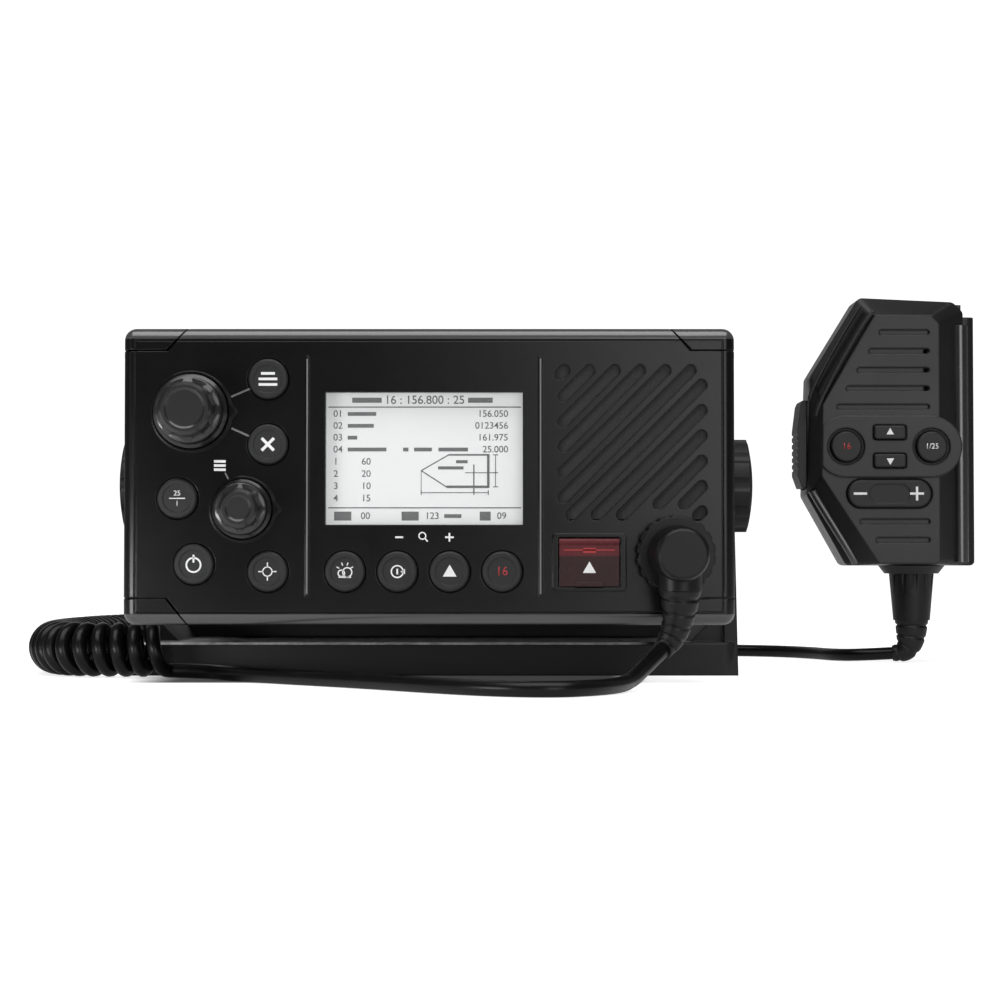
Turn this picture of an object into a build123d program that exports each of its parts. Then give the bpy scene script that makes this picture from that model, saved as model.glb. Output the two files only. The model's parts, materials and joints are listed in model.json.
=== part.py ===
from build123d import *
import math
import os

# A fixed marine radio on its gimbal bracket, with its fist handset plugged in at the front and
# standing beside it on the loop of its curly cord.  Millimetres.  +X right, +Y back, +Z up.
# The origin is the centre of the bracket's foot, on the surface that it stands on.

# ---------------------------------------------------------------- general fits
GAP = 0.3            # between pieces that move past each other
SNUG = 0.15          # round a piece that is clipped or bonded in
RUNNING = 0.05       # radial, shaft in bore
CUT = 1.0            # how far a cutter runs past the face it cuts
KEY_TRAVEL = 0.8

# ---------------------------------------------------------------- front bezel
AXIS_Z = 60.0        # gimbal axis above the foot, also the middle of the bezel
FRONT_Y = -80.0      # front face, from the gimbal axis
LEFT_PANEL_WIDTH = 53.3     # knobs and keys
MIDDLE_PANEL_WIDTH = 67.4   # display
RIGHT_PANEL_WIDTH = 56.3    # speaker, distress key and plug
BEZEL_WIDTH = LEFT_PANEL_WIDTH + MIDDLE_PANEL_WIDTH + RIGHT_PANEL_WIDTH
BEZEL_HEIGHT = 86.0
BEZEL_DEPTH = 16.0
BEZEL_CORNER = 3.5
RIM_ROUND = 3.4        # rounding of the rim, all round the face
RIM_GROOVE_WIDTH = 0.5  # fine groove between the rim and the face
RIM_GROOVE_DEEP = 0.4
FACE_WALL = 3.0
SIDE_WALL = 2.6
FACE_BACK = FRONT_Y + FACE_WALL
BEZEL_BACK = FRONT_Y + BEZEL_DEPTH
CAVITY_WIDTH = BEZEL_WIDTH - 2 * SIDE_WALL
CAVITY_HEIGHT = BEZEL_HEIGHT - 2 * SIDE_WALL
DIVIDER_LEFT_X = LEFT_PANEL_WIDTH - BEZEL_WIDTH / 2
DIVIDER_RIGHT_X = BEZEL_WIDTH / 2 - RIGHT_PANEL_WIDTH
LEFT_PANEL_X = DIVIDER_LEFT_X - LEFT_PANEL_WIDTH / 2
MIDDLE_PANEL_X = (DIVIDER_LEFT_X + DIVIDER_RIGHT_X) / 2
RIGHT_PANEL_X = DIVIDER_RIGHT_X + RIGHT_PANEL_WIDTH / 2
DIVIDER_MARGIN = 8.25
DIVIDER_LENGTH = BEZEL_HEIGHT - 2 * DIVIDER_MARGIN
DIVIDER_WIDTH = 1.0
DIVIDER_RISE = 0.35

# corner caps over the flush-mount screws
CAP_TOP_HEIGHT = 6.8
CAP_FOOT_HEIGHT = 8.0
CAP_LONG = 19.0      # along the outer edge
CAP_SHORT = 12.9     # along the inner edge
CAP_THICK = 4.4
CAP_SEAM = 0.45        # open seam round each cap
FLUSH_SCREW_R = 1.6
FLUSH_HEAD_R = 2.8
FLUSH_HEAD_DEEP = 2.4
FLUSH_INSET_X = 4.3   # screw axis from the bezel's outer edges
FLUSH_INSET_Z = 3.7
FLUSH_PITCH_X = BEZEL_WIDTH - 2 * FLUSH_INSET_X
FLUSH_PITCH_Z = BEZEL_HEIGHT - 2 * FLUSH_INSET_Z
LUG_WIDTH = 7.6      # solid corner lug that carries the flush-mount screw
LUG_HEIGHT = 8.6

# ---------------------------------------------------------------- rear housing
HOUSING_INSET_X = 10.0   # its sides inside the bezel's
HOUSING_INSET_Z = 7.0
HOUSING_WIDTH = BEZEL_WIDTH - 2 * HOUSING_INSET_X
HOUSING_HEIGHT = BEZEL_HEIGHT - 2 * HOUSING_INSET_Z
HOUSING_REAR_Y = 70.0
HOUSING_CORNER = 6.0
HOUSING_WALL = 2.5
HOUSING_END_WALL = 3.0
HOUSING_TAPER = 1.2  # degrees, towards the rear
FLANGE_THICK = 3.0
GASKET_THICK = 1.5
GASKET_WIDTH = 2.4
LEDGE_THICK = 3.0
FLANGE_BACK = BEZEL_BACK - 2.0
FLANGE_FRONT = FLANGE_BACK - FLANGE_THICK
LEDGE_BACK = FLANGE_FRONT - GASKET_THICK
LEDGE_FRONT = LEDGE_BACK - LEDGE_THICK
LEDGE_WIDTH = HOUSING_WIDTH - 1.0
LEDGE_HEIGHT = HOUSING_HEIGHT - 2.0
FIN_COUNT = 15
FIN_PITCH = 9.4
FIN_THICK = 2.2
FIN_DEEP = 12.0
FIN_LOW = -3.0       # fins and connectors, heights from the gimbal axis
FIN_HIGH = 32.0
CONNECTOR_Z = -18.0
CONNECTOR_PITCH = 46.0
ANTENNA_X = CONNECTOR_PITCH
DATA_X = 0.0
POWER_X = -CONNECTOR_PITCH
STANDOFF_R = 3.5
PILOT_R = 1.25           # bore for a board or flange screw
PILOT_LONG = 8.0
SCREW_R = 1.2
STANDOFF_FRONT_Y = -44.0
STANDOFF_REAR_Y = 50.0

# ---------------------------------------------------------------- controls, from the bezel's middle
KEY_R = 5.8
KEY_DISH_R = 4.1
KEY_RISE = 1.1
KEY_FLANGE = 1.2
KEY_FLANGE_THICK = 0.8
KEY_STEM_R = 2.0
KEY_COLUMN_X = LEFT_PANEL_X + 15.35
KEY_ROW_Z = -27.5
KEY_ROW_PITCH = 15.1
KEY_ROW_X = MIDDLE_PANEL_X - 22.7
KEY_PLACES = {
    "key_menu": (KEY_COLUMN_X, 28.1),
    "key_cancel": (KEY_COLUMN_X, 9.2),
    "key_level": (LEFT_PANEL_X - 10.75, -6.4),
    "key_power": (LEFT_PANEL_X - 5.95, -25.4),
    "key_mark": (KEY_COLUMN_X, KEY_ROW_Z),
    "key_weather": (KEY_ROW_X, KEY_ROW_Z),
    "key_scan": (KEY_ROW_X + KEY_ROW_PITCH, KEY_ROW_Z),
    "key_watch": (KEY_ROW_X + 2 * KEY_ROW_PITCH, KEY_ROW_Z),
    "key_sixteen": (KEY_ROW_X + 3 * KEY_ROW_PITCH, KEY_ROW_Z),
}
CHANNEL_AT = (LEFT_PANEL_X - 6.85, 18.7)
CHANNEL_COLLAR_R = 11.7
CHANNEL_RISE = 15.0
CHANNEL_FACE_R = 7.0
VOLUME_AT = (LEFT_PANEL_X + 8.05, -9.5)
VOLUME_COLLAR_R = 9.5
VOLUME_RISE = 12.0
VOLUME_FACE_R = 5.0
COLLAR_WALL = 0.7
COLLAR_RISE = 1.4
SHAFT_R = 3.0
BUSH_R = 4.0
KNOB_FLUTES = 8

# ---------------------------------------------------------------- display
WINDOW_X = MIDDLE_PANEL_X + 0.1
WINDOW_Z = 5.15
WINDOW_WIDTH = 57.0
WINDOW_HEIGHT = 38.3
WINDOW_LIP = 2.0
WINDOW_LIP_THICK = 1.0
FRAME_WALL = 1.2
PANEL_THICK = 2.4

# ---------------------------------------------------------------- boards behind the face
BOARD_THICK = 1.6
MAT_THICK = 1.5
KEY_FLANGE_FRONT = FACE_BACK + GAP
KEY_FLANGE_BACK = KEY_FLANGE_FRONT + KEY_FLANGE_THICK
MAT_FRONT = KEY_FLANGE_BACK + KEY_TRAVEL + GAP
MAT_BACK = MAT_FRONT + MAT_THICK
KEY_BOARD_BACK = MAT_BACK + BOARD_THICK
BOARD_MARGIN_X = 2.0     # inside the ledge's opening
BOARD_MARGIN_Z = 1.0
BOARD_LEFT = -LEDGE_WIDTH / 2 + BOARD_MARGIN_X
BOARD_RIGHT = DIVIDER_RIGHT_X + 1.2
STRIP_RIGHT = RIGHT_PANEL_X - 3.35   # low strip that reaches behind the distress key
BOARD_LOW = -LEDGE_HEIGHT / 2 + BOARD_MARGIN_Z
BOARD_HIGH = LEDGE_HEIGHT / 2 - BOARD_MARGIN_Z
BOARD_BOSS_R = 2.4
BOARD_BOSSES = (
    (LEFT_PANEL_X + 4.85, BOARD_HIGH - 2.5),
    (LEFT_PANEL_X + 3.85, 4.2),
    (LEFT_PANEL_X + 4.85, BOARD_LOW + 4.4),
    (MIDDLE_PANEL_X + 30.1, BOARD_HIGH - 3.1),
    (MIDDLE_PANEL_X + 30.9, -20.4),
)
MAIN_BOARD_Z = -19.6
MAIN_BOARD_MARGIN = 8.5  # from the housing's side
MAIN_BOARD_WIDTH = HOUSING_WIDTH - 2 * MAIN_BOARD_MARGIN
STANDOFF_INSET = 10.0
STANDOFF_X = MAIN_BOARD_WIDTH / 2 - STANDOFF_INSET
SHIELD_WIDTH = 58.0
SHIELD_DEPTH = 54.0
SHIELD_HEIGHT = 10.0
SHIELD_AT = (26.0, 12.0)

# ---------------------------------------------------------------- speaker and its grille
SLOT_WIDTH = 3.3
SLOT_PITCH = 7.33    # along the top edge; the slots run at 45 degrees
SLOT_COUNT = 12
SHORT_SLOTS = 3      # above the handset's plug
GRILLE_LEFT = RIGHT_PANEL_X - 21.6     # middles of the slots' round ends
GRILLE_RIGHT = RIGHT_PANEL_X + 18.35
GRILLE_HIGH = 30.7
GRILLE_LOW = -11.2
GRILLE_LOW_RIGHT = -8.0
GRILLE_FIRST = 52.1 - RIGHT_PANEL_X    # height less X of the first slot
SPEAKER_AT = (RIGHT_PANEL_X - 1.75, 10.6)
SPEAKER_R = 18.6
SPEAKER_DEEP = 13.0
MAGNET_R = 11.5

# ---------------------------------------------------------------- distress key under its flap
DISTRESS_AT = (RIGHT_PANEL_X - 14.1, -24.85)
FRAME_WIDTH = 21.2
FRAME_HEIGHT = 16.6
FRAME_RISE = 1.2
POCKET_WIDTH = 17.9
POCKET_HEIGHT = 14.5
POCKET_DEEP = 1.6
FLAP_THICK = 1.2
FLAP_PIN_R = 0.5
FLAP_BARREL_R = 1.1
DISTRESS_KEY_WIDTH = 13.0
DISTRESS_KEY_HEIGHT = 7.0

# ---------------------------------------------------------------- handset plug
PLUG_AT = (RIGHT_PANEL_X + 10.65, -22.6)
SOCKET_COLLAR_R = 9.0
SOCKET_COLLAR_RISE = 2.0
SOCKET_BARREL_R = 6.1
PLUG_RING_R = 11.3
PLUG_RING_LONG = 7.2
PLUG_HUB_R = 7.0
PLUG_HEAD_R = 8.4
PLUG_CAP_R = 7.0
PLUG_PROUD = 30.0
PLUG_NECK_R = 6.1
PLUG_NECK_END_Z = 27.0    # above the foot

# ---------------------------------------------------------------- gimbal
AXLE_BOSS_R = 13.0
AXLE_BOSS_END_X = BEZEL_WIDTH / 2 + 0.4
WASHER_THICK = 1.6
WASHER_R = 12.0
ARM_INNER_X = AXLE_BOSS_END_X + WASHER_THICK
ARM_THICK = 4.1
ARM_TOP_R = 16.0
ARM_HOLE_R = 3.3
FOOT_HEIGHT = 10.4
FOOT_DEPTH = 57.2
FOOT_SKIN = 3.5
FOOT_SKIRT = 3.0
FOOT_CORNER = 5.0
FOOT_BOLT_X = 120.0
FOOT_BOLT_Y = 34.0
FOOT_BOLT_R = 2.6
FOOT_BOLT_BOSS_R = 6.5
FOOT_HEAD_R = 5.0
FOOT_HEAD_DEEP = 3.6
FOOT_RIB = 2.4
LIP_TOP = 14.6         # stiffening lip along the foot's rear edge, height above the surface
LIP_THICK = 3.0
LIP_INSET = 0.8
GUSSET_X = 80.0
GUSSET_TOP = 21.0
GUSSET_DEPTH = 46.0
FOOT_WIDTH = 2 * (ARM_INNER_X + ARM_THICK)
KNOB_R = 15.0
KNOB_THICK = 7.4
KNOB_LOBES = 10
KNOB_DOME_R = 60.0
STUD_R = 2.9
STUD_LONG = 16.4
INSERT_R = 4.6
INSERT_LONG = 12.0

# ---------------------------------------------------------------- fist handset
HANDSET_X = 165.6    # axis of its cord
HANDSET_Z = 34.2     # underside of the shells
HANDSET_FRONT_Y = 50.0
HANDSET_BEVEL = 7.0
HANDSET_SPLIT_Y = 66.0
HANDSET_REAR_Y = 80.0
HANDSET_REAR_TAPER = 6.0
HANDSET_WALL = 4.0
HANDSET_FACE_WALL = 2.6
HANDSET_TOP = 93.7   # heights and widths below are from the cord's axis and the underside
HANDSET_LEFT = -37.9
HANDSET_RIGHT = 17.0
HANDSET_RAIL = 23.1
RAIL_DROP = 5.8       # the rail's upper end below the top of the shells
RAIL_ROUND = 3.0
ISLAND_RISE = 0.8
ISLAND_R = 10.6
HANDSET_KEY_R = 5.2
KEY_RECESS_R = 6.4    # shallow recess round each round key
KEY_RECESS_DEEP = 0.9
HANDSET_KEY_RISE = 0.9
HANDSET_KEY_TRAVEL = 0.7
CALL_KEY_AT = (-25.2, 41.2)
POWER_KEY_AT = (4.4, 41.2)
UP_KEY_AT = (-10.1, 46.1)
DOWN_KEY_AT = (-10.1, 36.3)
ARROW_KEY_WIDTH = 11.0
ARROW_KEY_HEIGHT = 4.7
ROCKER_AT = (-10.2, 24.9)
ROCKER_WIDTH = 29.0
ROCKER_HEIGHT = 9.6
CAPSULE_HOLE_R = 1.2
FULCRUM_R = 1.0      # the board's ridge that the rocker tilts on
FULCRUM_LONG = 6.0
GROOVE_WIDTH = 1.9
GROOVE_DEEP = 1.0
GROOVE_PITCH = 6.5
GROOVE_RIGHT = 3.9
LEVER_LOW = 27.2
LEVER_HIGH = 57.8
LEVER_OUT = 3.0      # how far the press-to-talk lever stands out of the shell
LEVER_WIDTH = 15.4
LEVER_BACK = 2.2     # how deep it is let into the shell
LEVER_TURN = 3.2
LEVER_PIN_R = 1.0
LEVER_LUG_R = 2.2
HANDSET_BOARD_INSET = 7.2
HANDSET_BOARD_LOW = 5.0
HANDSET_BOARD_HIGH = 63.0
TALK_SWITCH_AT = (HANDSET_LEFT + 9.9, 46.0)
TALK_SWITCH_WIDTH = 5.0
TALK_SWITCH_HEIGHT = 8.0
HANGER_AT = (-10.0, 60.0)
HANGER_NECK_R = 3.4
HANGER_HEAD_R = 6.4

# ---------------------------------------------------------------- cord
CORD_R = 2.2
COIL_R = 8.5
COIL_Z = 8.6
LEAD_ROUTE = (
    (66.0, -98.0, 10.6),
    (60.5, -105.5, 6.0),
    (56.5, -115.5, 3.0),
    (52.5, -127.5, 2.3),
    (45.5, -140.0, 2.3),
    (35.0, -148.0, 2.3),
    (20.0, -144.0, 2.3),
    (4.0, -130.0, 2.3),
    (-20.0, -102.5, 2.3),
    (-44.0, -80.0, 2.3),
    (-60.0, -62.0, 2.3),
    (-68.0, -47.0, 2.3),
    (-79.0, -43.0, 2.3),
)
COIL_ROUTE = (
    (-79.0, -43.0, COIL_Z),
    (-95.0, -42.5, COIL_Z),
    (-110.0, -38.0, COIL_Z),
    (-119.0, -24.0, COIL_Z),
    (-122.0, -4.0, COIL_Z),
    (-122.0, 28.0, COIL_Z),
    (-117.0, 64.0, COIL_Z),
    (-104.0, 92.0, COIL_Z),
    (-80.0, 110.0, COIL_Z),
    (-50.0, 118.0, COIL_Z),
    (-22.0, 119.0, COIL_Z),
)
REAR_ROUTE = (
    (-22.0, 119.0, 2.3),
    (12.0, 121.0, 2.3),
    (46.0, 126.5, 2.3),
    (80.0, 126.0, 2.3),
    (111.0, 119.0, 2.3),
    (127.0, 108.0, 2.3),
    (136.0, 92.0, 2.3),
    (140.0, 77.5, 2.3),
    (148.0, 68.5, 2.6),
    (159.0, 66.5, 3.3),
)


# ================================================================ helpers
def face_plane(y):
    """Sketch plane at depth y, seen from the front: sketch X is +X, sketch Y is height from the axis."""
    return Plane(origin=(0, y, AXIS_Z), x_dir=(1, 0, 0), z_dir=(0, -1, 0))


def between(sketch, y_front, y_back):
    """Extrudes a front-view sketch from one depth to another."""
    return extrude(face_plane(y_back) * sketch, y_back - y_front)


def disc(place, radius, y_front, y_back):
    return between(Pos(*place) * Circle(radius), y_front, y_back)


def side_rod(radius, x_from, x_to, y=0.0, z=AXIS_Z):
    """A cylinder along X."""
    return Pos((x_from + x_to) / 2, y, z) * Rot(0, 90, 0) * Cylinder(radius, abs(x_to - x_from))


def turned(place, profile):
    """Revolves a profile of (radius, depth) points round an axis along Y through a place on the front."""
    plane = Plane(origin=(place[0], 0, AXIS_Z + place[1]), x_dir=(1, 0, 0), z_dir=(0, 0, 1))
    sketch = make_face(Polyline(*profile, close=True))
    axis = Axis((place[0], 0, AXIS_Z + place[1]), (0, 1, 0))
    return revolve(plane * sketch, axis, 360)


def mirrored_x(solid):
    return mirror(solid, about=Plane.YZ)


# ================================================================ front bezel and what is clipped into it
def bezel_block():
    """The bezel's outer form: a slab with a rounded rim, and a fine groove inside the rim."""
    block = between(RectangleRounded(BEZEL_WIDTH, BEZEL_HEIGHT, BEZEL_CORNER), FRONT_Y, BEZEL_BACK)
    block = fillet(block.faces().sort_by(Axis.Y)[0].edges(), RIM_ROUND)
    groove = rim_inside(RIM_ROUND) - rim_inside(RIM_ROUND + RIM_GROOVE_WIDTH)
    return block - between(groove, FRONT_Y - CUT, FRONT_Y + RIM_GROOVE_DEEP)


def rim_inside(inset):
    return Rectangle(BEZEL_WIDTH - 2 * inset, BEZEL_HEIGHT - 2 * inset)


def cap_outline(side, level, clearance):
    """Front outline of one corner cap: square to the corner, with a slanted inner end."""
    height = CAP_TOP_HEIGHT if level > 0 else CAP_FOOT_HEIGHT
    edge = BEZEL_WIDTH / 2 + CUT
    outer = BEZEL_HEIGHT / 2 + CUT
    inner = BEZEL_HEIGHT / 2 - height + clearance
    slant = (CAP_LONG - CAP_SHORT) / height
    long_x = BEZEL_WIDTH / 2 - CAP_LONG - slant * CUT + clearance
    short_x = BEZEL_WIDTH / 2 - CAP_SHORT + clearance
    points = [(edge, outer), (long_x, outer), (short_x, inner), (edge, inner)]
    return make_face(Polyline(*[(side * x, level * z) for x, z in points], close=True))


def corners():
    return [(side, level) for side in (-1, 1) for level in (-1, 1)]


def slots():
    """Slanted speaker slots as (low end, high end) pairs of front-view points."""
    pairs = []
    for number in range(SLOT_COUNT):
        offset = GRILLE_FIRST - number * SLOT_PITCH
        floor = GRILLE_LOW if number < SLOT_COUNT - SHORT_SLOTS else GRILLE_LOW_RIGHT
        high_x = min(GRILLE_RIGHT, GRILLE_HIGH - offset)
        low_x = min(max(GRILLE_LEFT, floor - offset), high_x - SLOT_WIDTH / 3)
        pairs.append(((low_x, low_x + offset), (high_x, high_x + offset)))
    return pairs


def slot_sketch(low, high, width):
    length = math.dist(low, high)
    middle = ((low[0] + high[0]) / 2, (low[1] + high[1]) / 2)
    return Pos(*middle) * Rot(0, 0, 45) * SlotCenterToCenter(length, width)


def collar(place, radius):
    """Raised ring round a knob, with a small pointer at three o'clock."""
    ring = Circle(radius) - Circle(radius - COLLAR_WALL)
    pointer = make_face(Polyline((radius - COLLAR_WALL / 2, 2.2), (radius + 1.3, 0.5),
                                 (radius + 1.3, -0.5), (radius - COLLAR_WALL / 2, -2.2), close=True))
    return between(Pos(*place) * (ring + pointer), FRONT_Y - COLLAR_RISE, FRONT_Y + CUT)


def divider(x):
    bar = Pos(x, 0) * RectangleRounded(DIVIDER_WIDTH, DIVIDER_LENGTH, DIVIDER_WIDTH / 2.1)
    return between(bar, FRONT_Y - DIVIDER_RISE, FRONT_Y + CUT)


def flap_hinge():
    """Front-view height and depth of the flap's hinge pin."""
    height = DISTRESS_AT[1] + POCKET_HEIGHT / 2 - GAP - FLAP_BARREL_R
    return height, FRONT_Y - FRAME_RISE + FLAP_BARREL_R - 0.4


def make_front_bezel():
    """Shell open to the rear, with an inner ledge that the housing's flange is screwed to."""
    bezel = bezel_block()
    bezel -= between(RectangleRounded(CAVITY_WIDTH, CAVITY_HEIGHT, BEZEL_CORNER), FACE_BACK, BEZEL_BACK + CUT)
    for x in (DIVIDER_LEFT_X, DIVIDER_RIGHT_X):
        bezel += divider(x)
    for place, radius in ((CHANNEL_AT, CHANNEL_COLLAR_R), (VOLUME_AT, VOLUME_COLLAR_R)):
        bezel += collar(place, radius)
    frame = Pos(*DISTRESS_AT) * RectangleRounded(FRAME_WIDTH, FRAME_HEIGHT, 1.2)
    bezel += between(frame, FRONT_Y - FRAME_RISE, FRONT_Y + CUT)
    for place in BOARD_BOSSES:
        bezel += disc(place, BOARD_BOSS_R, FACE_BACK - CUT, MAT_BACK)
    ledge = RectangleRounded(CAVITY_WIDTH + CUT, CAVITY_HEIGHT + CUT, BEZEL_CORNER)
    bezel += between(ledge - Rectangle(LEDGE_WIDTH, LEDGE_HEIGHT), LEDGE_FRONT, LEDGE_BACK)
    body = between(RectangleRounded(BEZEL_WIDTH, BEZEL_HEIGHT, BEZEL_CORNER), FACE_BACK, BEZEL_BACK)
    for side, level in corners():
        lug_at = (side * (BEZEL_WIDTH - LUG_WIDTH) / 2, level * (BEZEL_HEIGHT - LUG_HEIGHT) / 2)
        bezel += body & between(Pos(*lug_at) * Rectangle(LUG_WIDTH, LUG_HEIGHT), FRONT_Y, BEZEL_BACK)
    for side, level in corners():
        screw = (side * FLUSH_PITCH_X / 2, level * FLUSH_PITCH_Z / 2)
        bezel -= between(cap_outline(side, level, 0), FRONT_Y - CUT, FRONT_Y + CAP_THICK)
        bezel -= disc(screw, FLUSH_SCREW_R, FRONT_Y, BEZEL_BACK + CUT)
        bezel -= disc(screw, FLUSH_HEAD_R, FRONT_Y, FRONT_Y + CAP_THICK + FLUSH_HEAD_DEEP)
    holes = Pos(WINDOW_X, WINDOW_Z) * Rectangle(WINDOW_WIDTH, WINDOW_HEIGHT)
    holes += [Pos(*place) * Circle(KEY_R + GAP) for place in KEY_PLACES.values()]
    holes += [Pos(*place) * Circle(BUSH_R + GAP) for place in (CHANNEL_AT, VOLUME_AT)]
    holes += [slot_sketch(low, high, SLOT_WIDTH) for low, high in slots()]
    holes += Pos(*PLUG_AT) * Circle(SOCKET_BARREL_R + SNUG)
    bezel -= between(holes, FRONT_Y - 2 * CUT, FACE_BACK + CUT)
    pocket = Pos(*DISTRESS_AT) * RectangleRounded(POCKET_WIDTH, POCKET_HEIGHT, 0.6)
    bezel -= between(pocket, FRONT_Y - FRAME_RISE - CUT, FRONT_Y + POCKET_DEEP)
    key_hole = Rectangle(DISTRESS_KEY_WIDTH + 2 * GAP, DISTRESS_KEY_HEIGHT + 2 * GAP)
    bezel -= between(Pos(DISTRESS_AT[0], distress_key_z()) * key_hole, FRONT_Y, FACE_BACK + CUT)
    height, depth = flap_hinge()
    reach = FRAME_WIDTH / 2 - 0.6
    bezel -= side_rod(FLAP_PIN_R + 0.02, DISTRESS_AT[0] - reach, DISTRESS_AT[0] + reach, depth, AXIS_Z + height)
    for place in housing_screws():
        bezel -= disc(place, PILOT_R, LEDGE_FRONT - CUT, LEDGE_BACK + CUT)
    return bezel


def distress_key_z():
    return DISTRESS_AT[1] - POCKET_HEIGHT / 2 + DISTRESS_KEY_HEIGHT / 2 + 2.0


def make_corner_caps():
    caps = []
    for side, level in corners():
        cap = between(cap_outline(side, level, CAP_SEAM), FRONT_Y, FRONT_Y + CAP_THICK)
        caps.append(bezel_block() & cap)
    return caps


def make_display_window():
    lens = Rectangle(WINDOW_WIDTH - 2 * SNUG, WINDOW_HEIGHT - 2 * SNUG)
    lip = Rectangle(WINDOW_WIDTH + 2 * WINDOW_LIP, WINDOW_HEIGHT + 2 * WINDOW_LIP)
    window = between(Pos(WINDOW_X, WINDOW_Z) * lens, FRONT_Y + 0.1, FACE_BACK + 0.1)
    return window + between(Pos(WINDOW_X, WINDOW_Z) * lip, FACE_BACK, FACE_BACK + WINDOW_LIP_THICK)


def make_display_panel():
    glass = Rectangle(WINDOW_WIDTH + WINDOW_LIP, WINDOW_HEIGHT + WINDOW_LIP)
    return between(Pos(WINDOW_X, WINDOW_Z) * glass, MAT_BACK - PANEL_THICK, MAT_BACK)


def make_display_frame():
    inner = Rectangle(WINDOW_WIDTH + WINDOW_LIP + 2 * SNUG, WINDOW_HEIGHT + WINDOW_LIP + 2 * SNUG)
    grown = 2 * (SNUG + FRAME_WALL)
    outer = Rectangle(WINDOW_WIDTH + WINDOW_LIP + grown, WINDOW_HEIGHT + WINDOW_LIP + grown)
    return between(Pos(WINDOW_X, WINDOW_Z) * (outer - inner), MAT_BACK - PANEL_THICK, MAT_BACK)


def board_area(left, right, low, high):
    return Pos((left + right) / 2, (low + high) / 2) * Rectangle(right - left, high - low)


def make_keypad_mat():
    """Silicone sheet in front of the key board: a tall part on the left and a strip under the display."""
    tall_right = DIVIDER_LEFT_X - 1.0
    strip_high = WINDOW_Z - WINDOW_HEIGHT / 2 - WINDOW_LIP - FRAME_WALL - 1.0
    sheet = board_area(BOARD_LEFT, tall_right, BOARD_LOW, BOARD_HIGH)
    sheet += board_area(tall_right - CUT, STRIP_RIGHT, BOARD_LOW, strip_high)
    stems = list(KEY_PLACES.values()) + [(DISTRESS_AT[0], distress_key_z())]
    holes = [Pos(*place) * Circle(KEY_STEM_R + 2 * GAP) for place in stems]
    holes += [Pos(*place) * Circle(BOARD_BOSS_R + SNUG) for place in BOARD_BOSSES]
    holes += [Pos(*place) * Circle(BUSH_R + GAP) for place in (CHANNEL_AT, VOLUME_AT)]
    return between(sheet - holes, MAT_FRONT, MAT_BACK)


def make_key_board():
    strip_high = WINDOW_Z - WINDOW_HEIGHT / 2 - WINDOW_LIP - FRAME_WALL - 1.0
    board = board_area(BOARD_LEFT, BOARD_RIGHT, BOARD_LOW, BOARD_HIGH)
    board += board_area(BOARD_RIGHT - CUT, STRIP_RIGHT, BOARD_LOW, strip_high)
    board -= [Pos(*place) * Circle(BUSH_R + GAP) for place in (CHANNEL_AT, VOLUME_AT)]
    return between(board, MAT_BACK, KEY_BOARD_BACK)


def make_key(place):
    """Round key: a cap with a shallow dish, a flange that holds it behind the face, and a stem."""
    front = FRONT_Y - KEY_RISE
    cap = disc(place, KEY_R, front, KEY_FLANGE_FRONT + 0.1)
    cap = chamfer(cap.faces().sort_by(Axis.Y)[0].edges(), 0.5)
    cap -= disc(place, KEY_DISH_R, front - CUT, front + 0.25)
    cap += disc(place, KEY_R + KEY_FLANGE, KEY_FLANGE_FRONT, KEY_FLANGE_BACK)
    return cap + disc(place, KEY_STEM_R, KEY_FLANGE_BACK - 0.1, MAT_BACK - KEY_TRAVEL - GAP)


# ================================================================ knobs on their encoders
def make_encoders():
    bodies = []
    for place in (CHANNEL_AT, VOLUME_AT):
        body = between(Pos(*place) * RectangleRounded(12.4, 12.4, 1.0), KEY_BOARD_BACK, KEY_BOARD_BACK + 5.6)
        body += disc(place, BUSH_R, FRONT_Y + 0.6, KEY_BOARD_BACK + 0.5)
        bodies.append(body - disc(place, SHAFT_R + RUNNING, FRONT_Y - CUT, KEY_BOARD_BACK + 4.0))
    return bodies


def make_shaft(place, rise):
    """Push shaft of an encoder, with a chamfered tip."""
    tip = FRONT_Y - rise + 2.8
    shaft = disc(place, SHAFT_R, tip, KEY_BOARD_BACK + 4.0 - KEY_TRAVEL - GAP)
    return chamfer(shaft.faces().sort_by(Axis.Y)[0].edges(), 0.5)


def make_knob(place, collar_r, rise, face_r):
    """Stepped knob: a low skirt inside the collar, a tapered waist and a fluted grip."""
    skirt_r = collar_r - COLLAR_WALL - GAP
    back = FRONT_Y - KEY_TRAVEL - GAP
    front = FRONT_Y - rise
    waist_r = (skirt_r + face_r) / 2 + 0.9
    profile = [
        (0, back), (skirt_r, back), (skirt_r, back - 1.6), (skirt_r - 0.5, back - 2.1),
        (waist_r, back - 2.5), (waist_r - 0.3, back - 0.44 * rise), (face_r + 1.0, back - 0.5 * rise),
        (face_r + 0.6, front + 1.0), (face_r - 0.3, front), (face_r - 1.2, front), (face_r - 1.8, front + 0.5),
        (0, front + 0.5),
    ]
    knob = turned(place, profile)
    for number in range(KNOB_FLUTES):
        angle = math.radians(360 / KNOB_FLUTES * (number + 0.5))
        reach = face_r + 3.35
        flute_at = (place[0] + reach * math.cos(angle), place[1] + reach * math.sin(angle))
        knob -= disc(flute_at, 2.9, front - CUT, back - 0.46 * rise)
    return knob - disc(place, SHAFT_R + RUNNING, FRONT_Y - rise + 2.8 - GAP, back + CUT)


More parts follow.
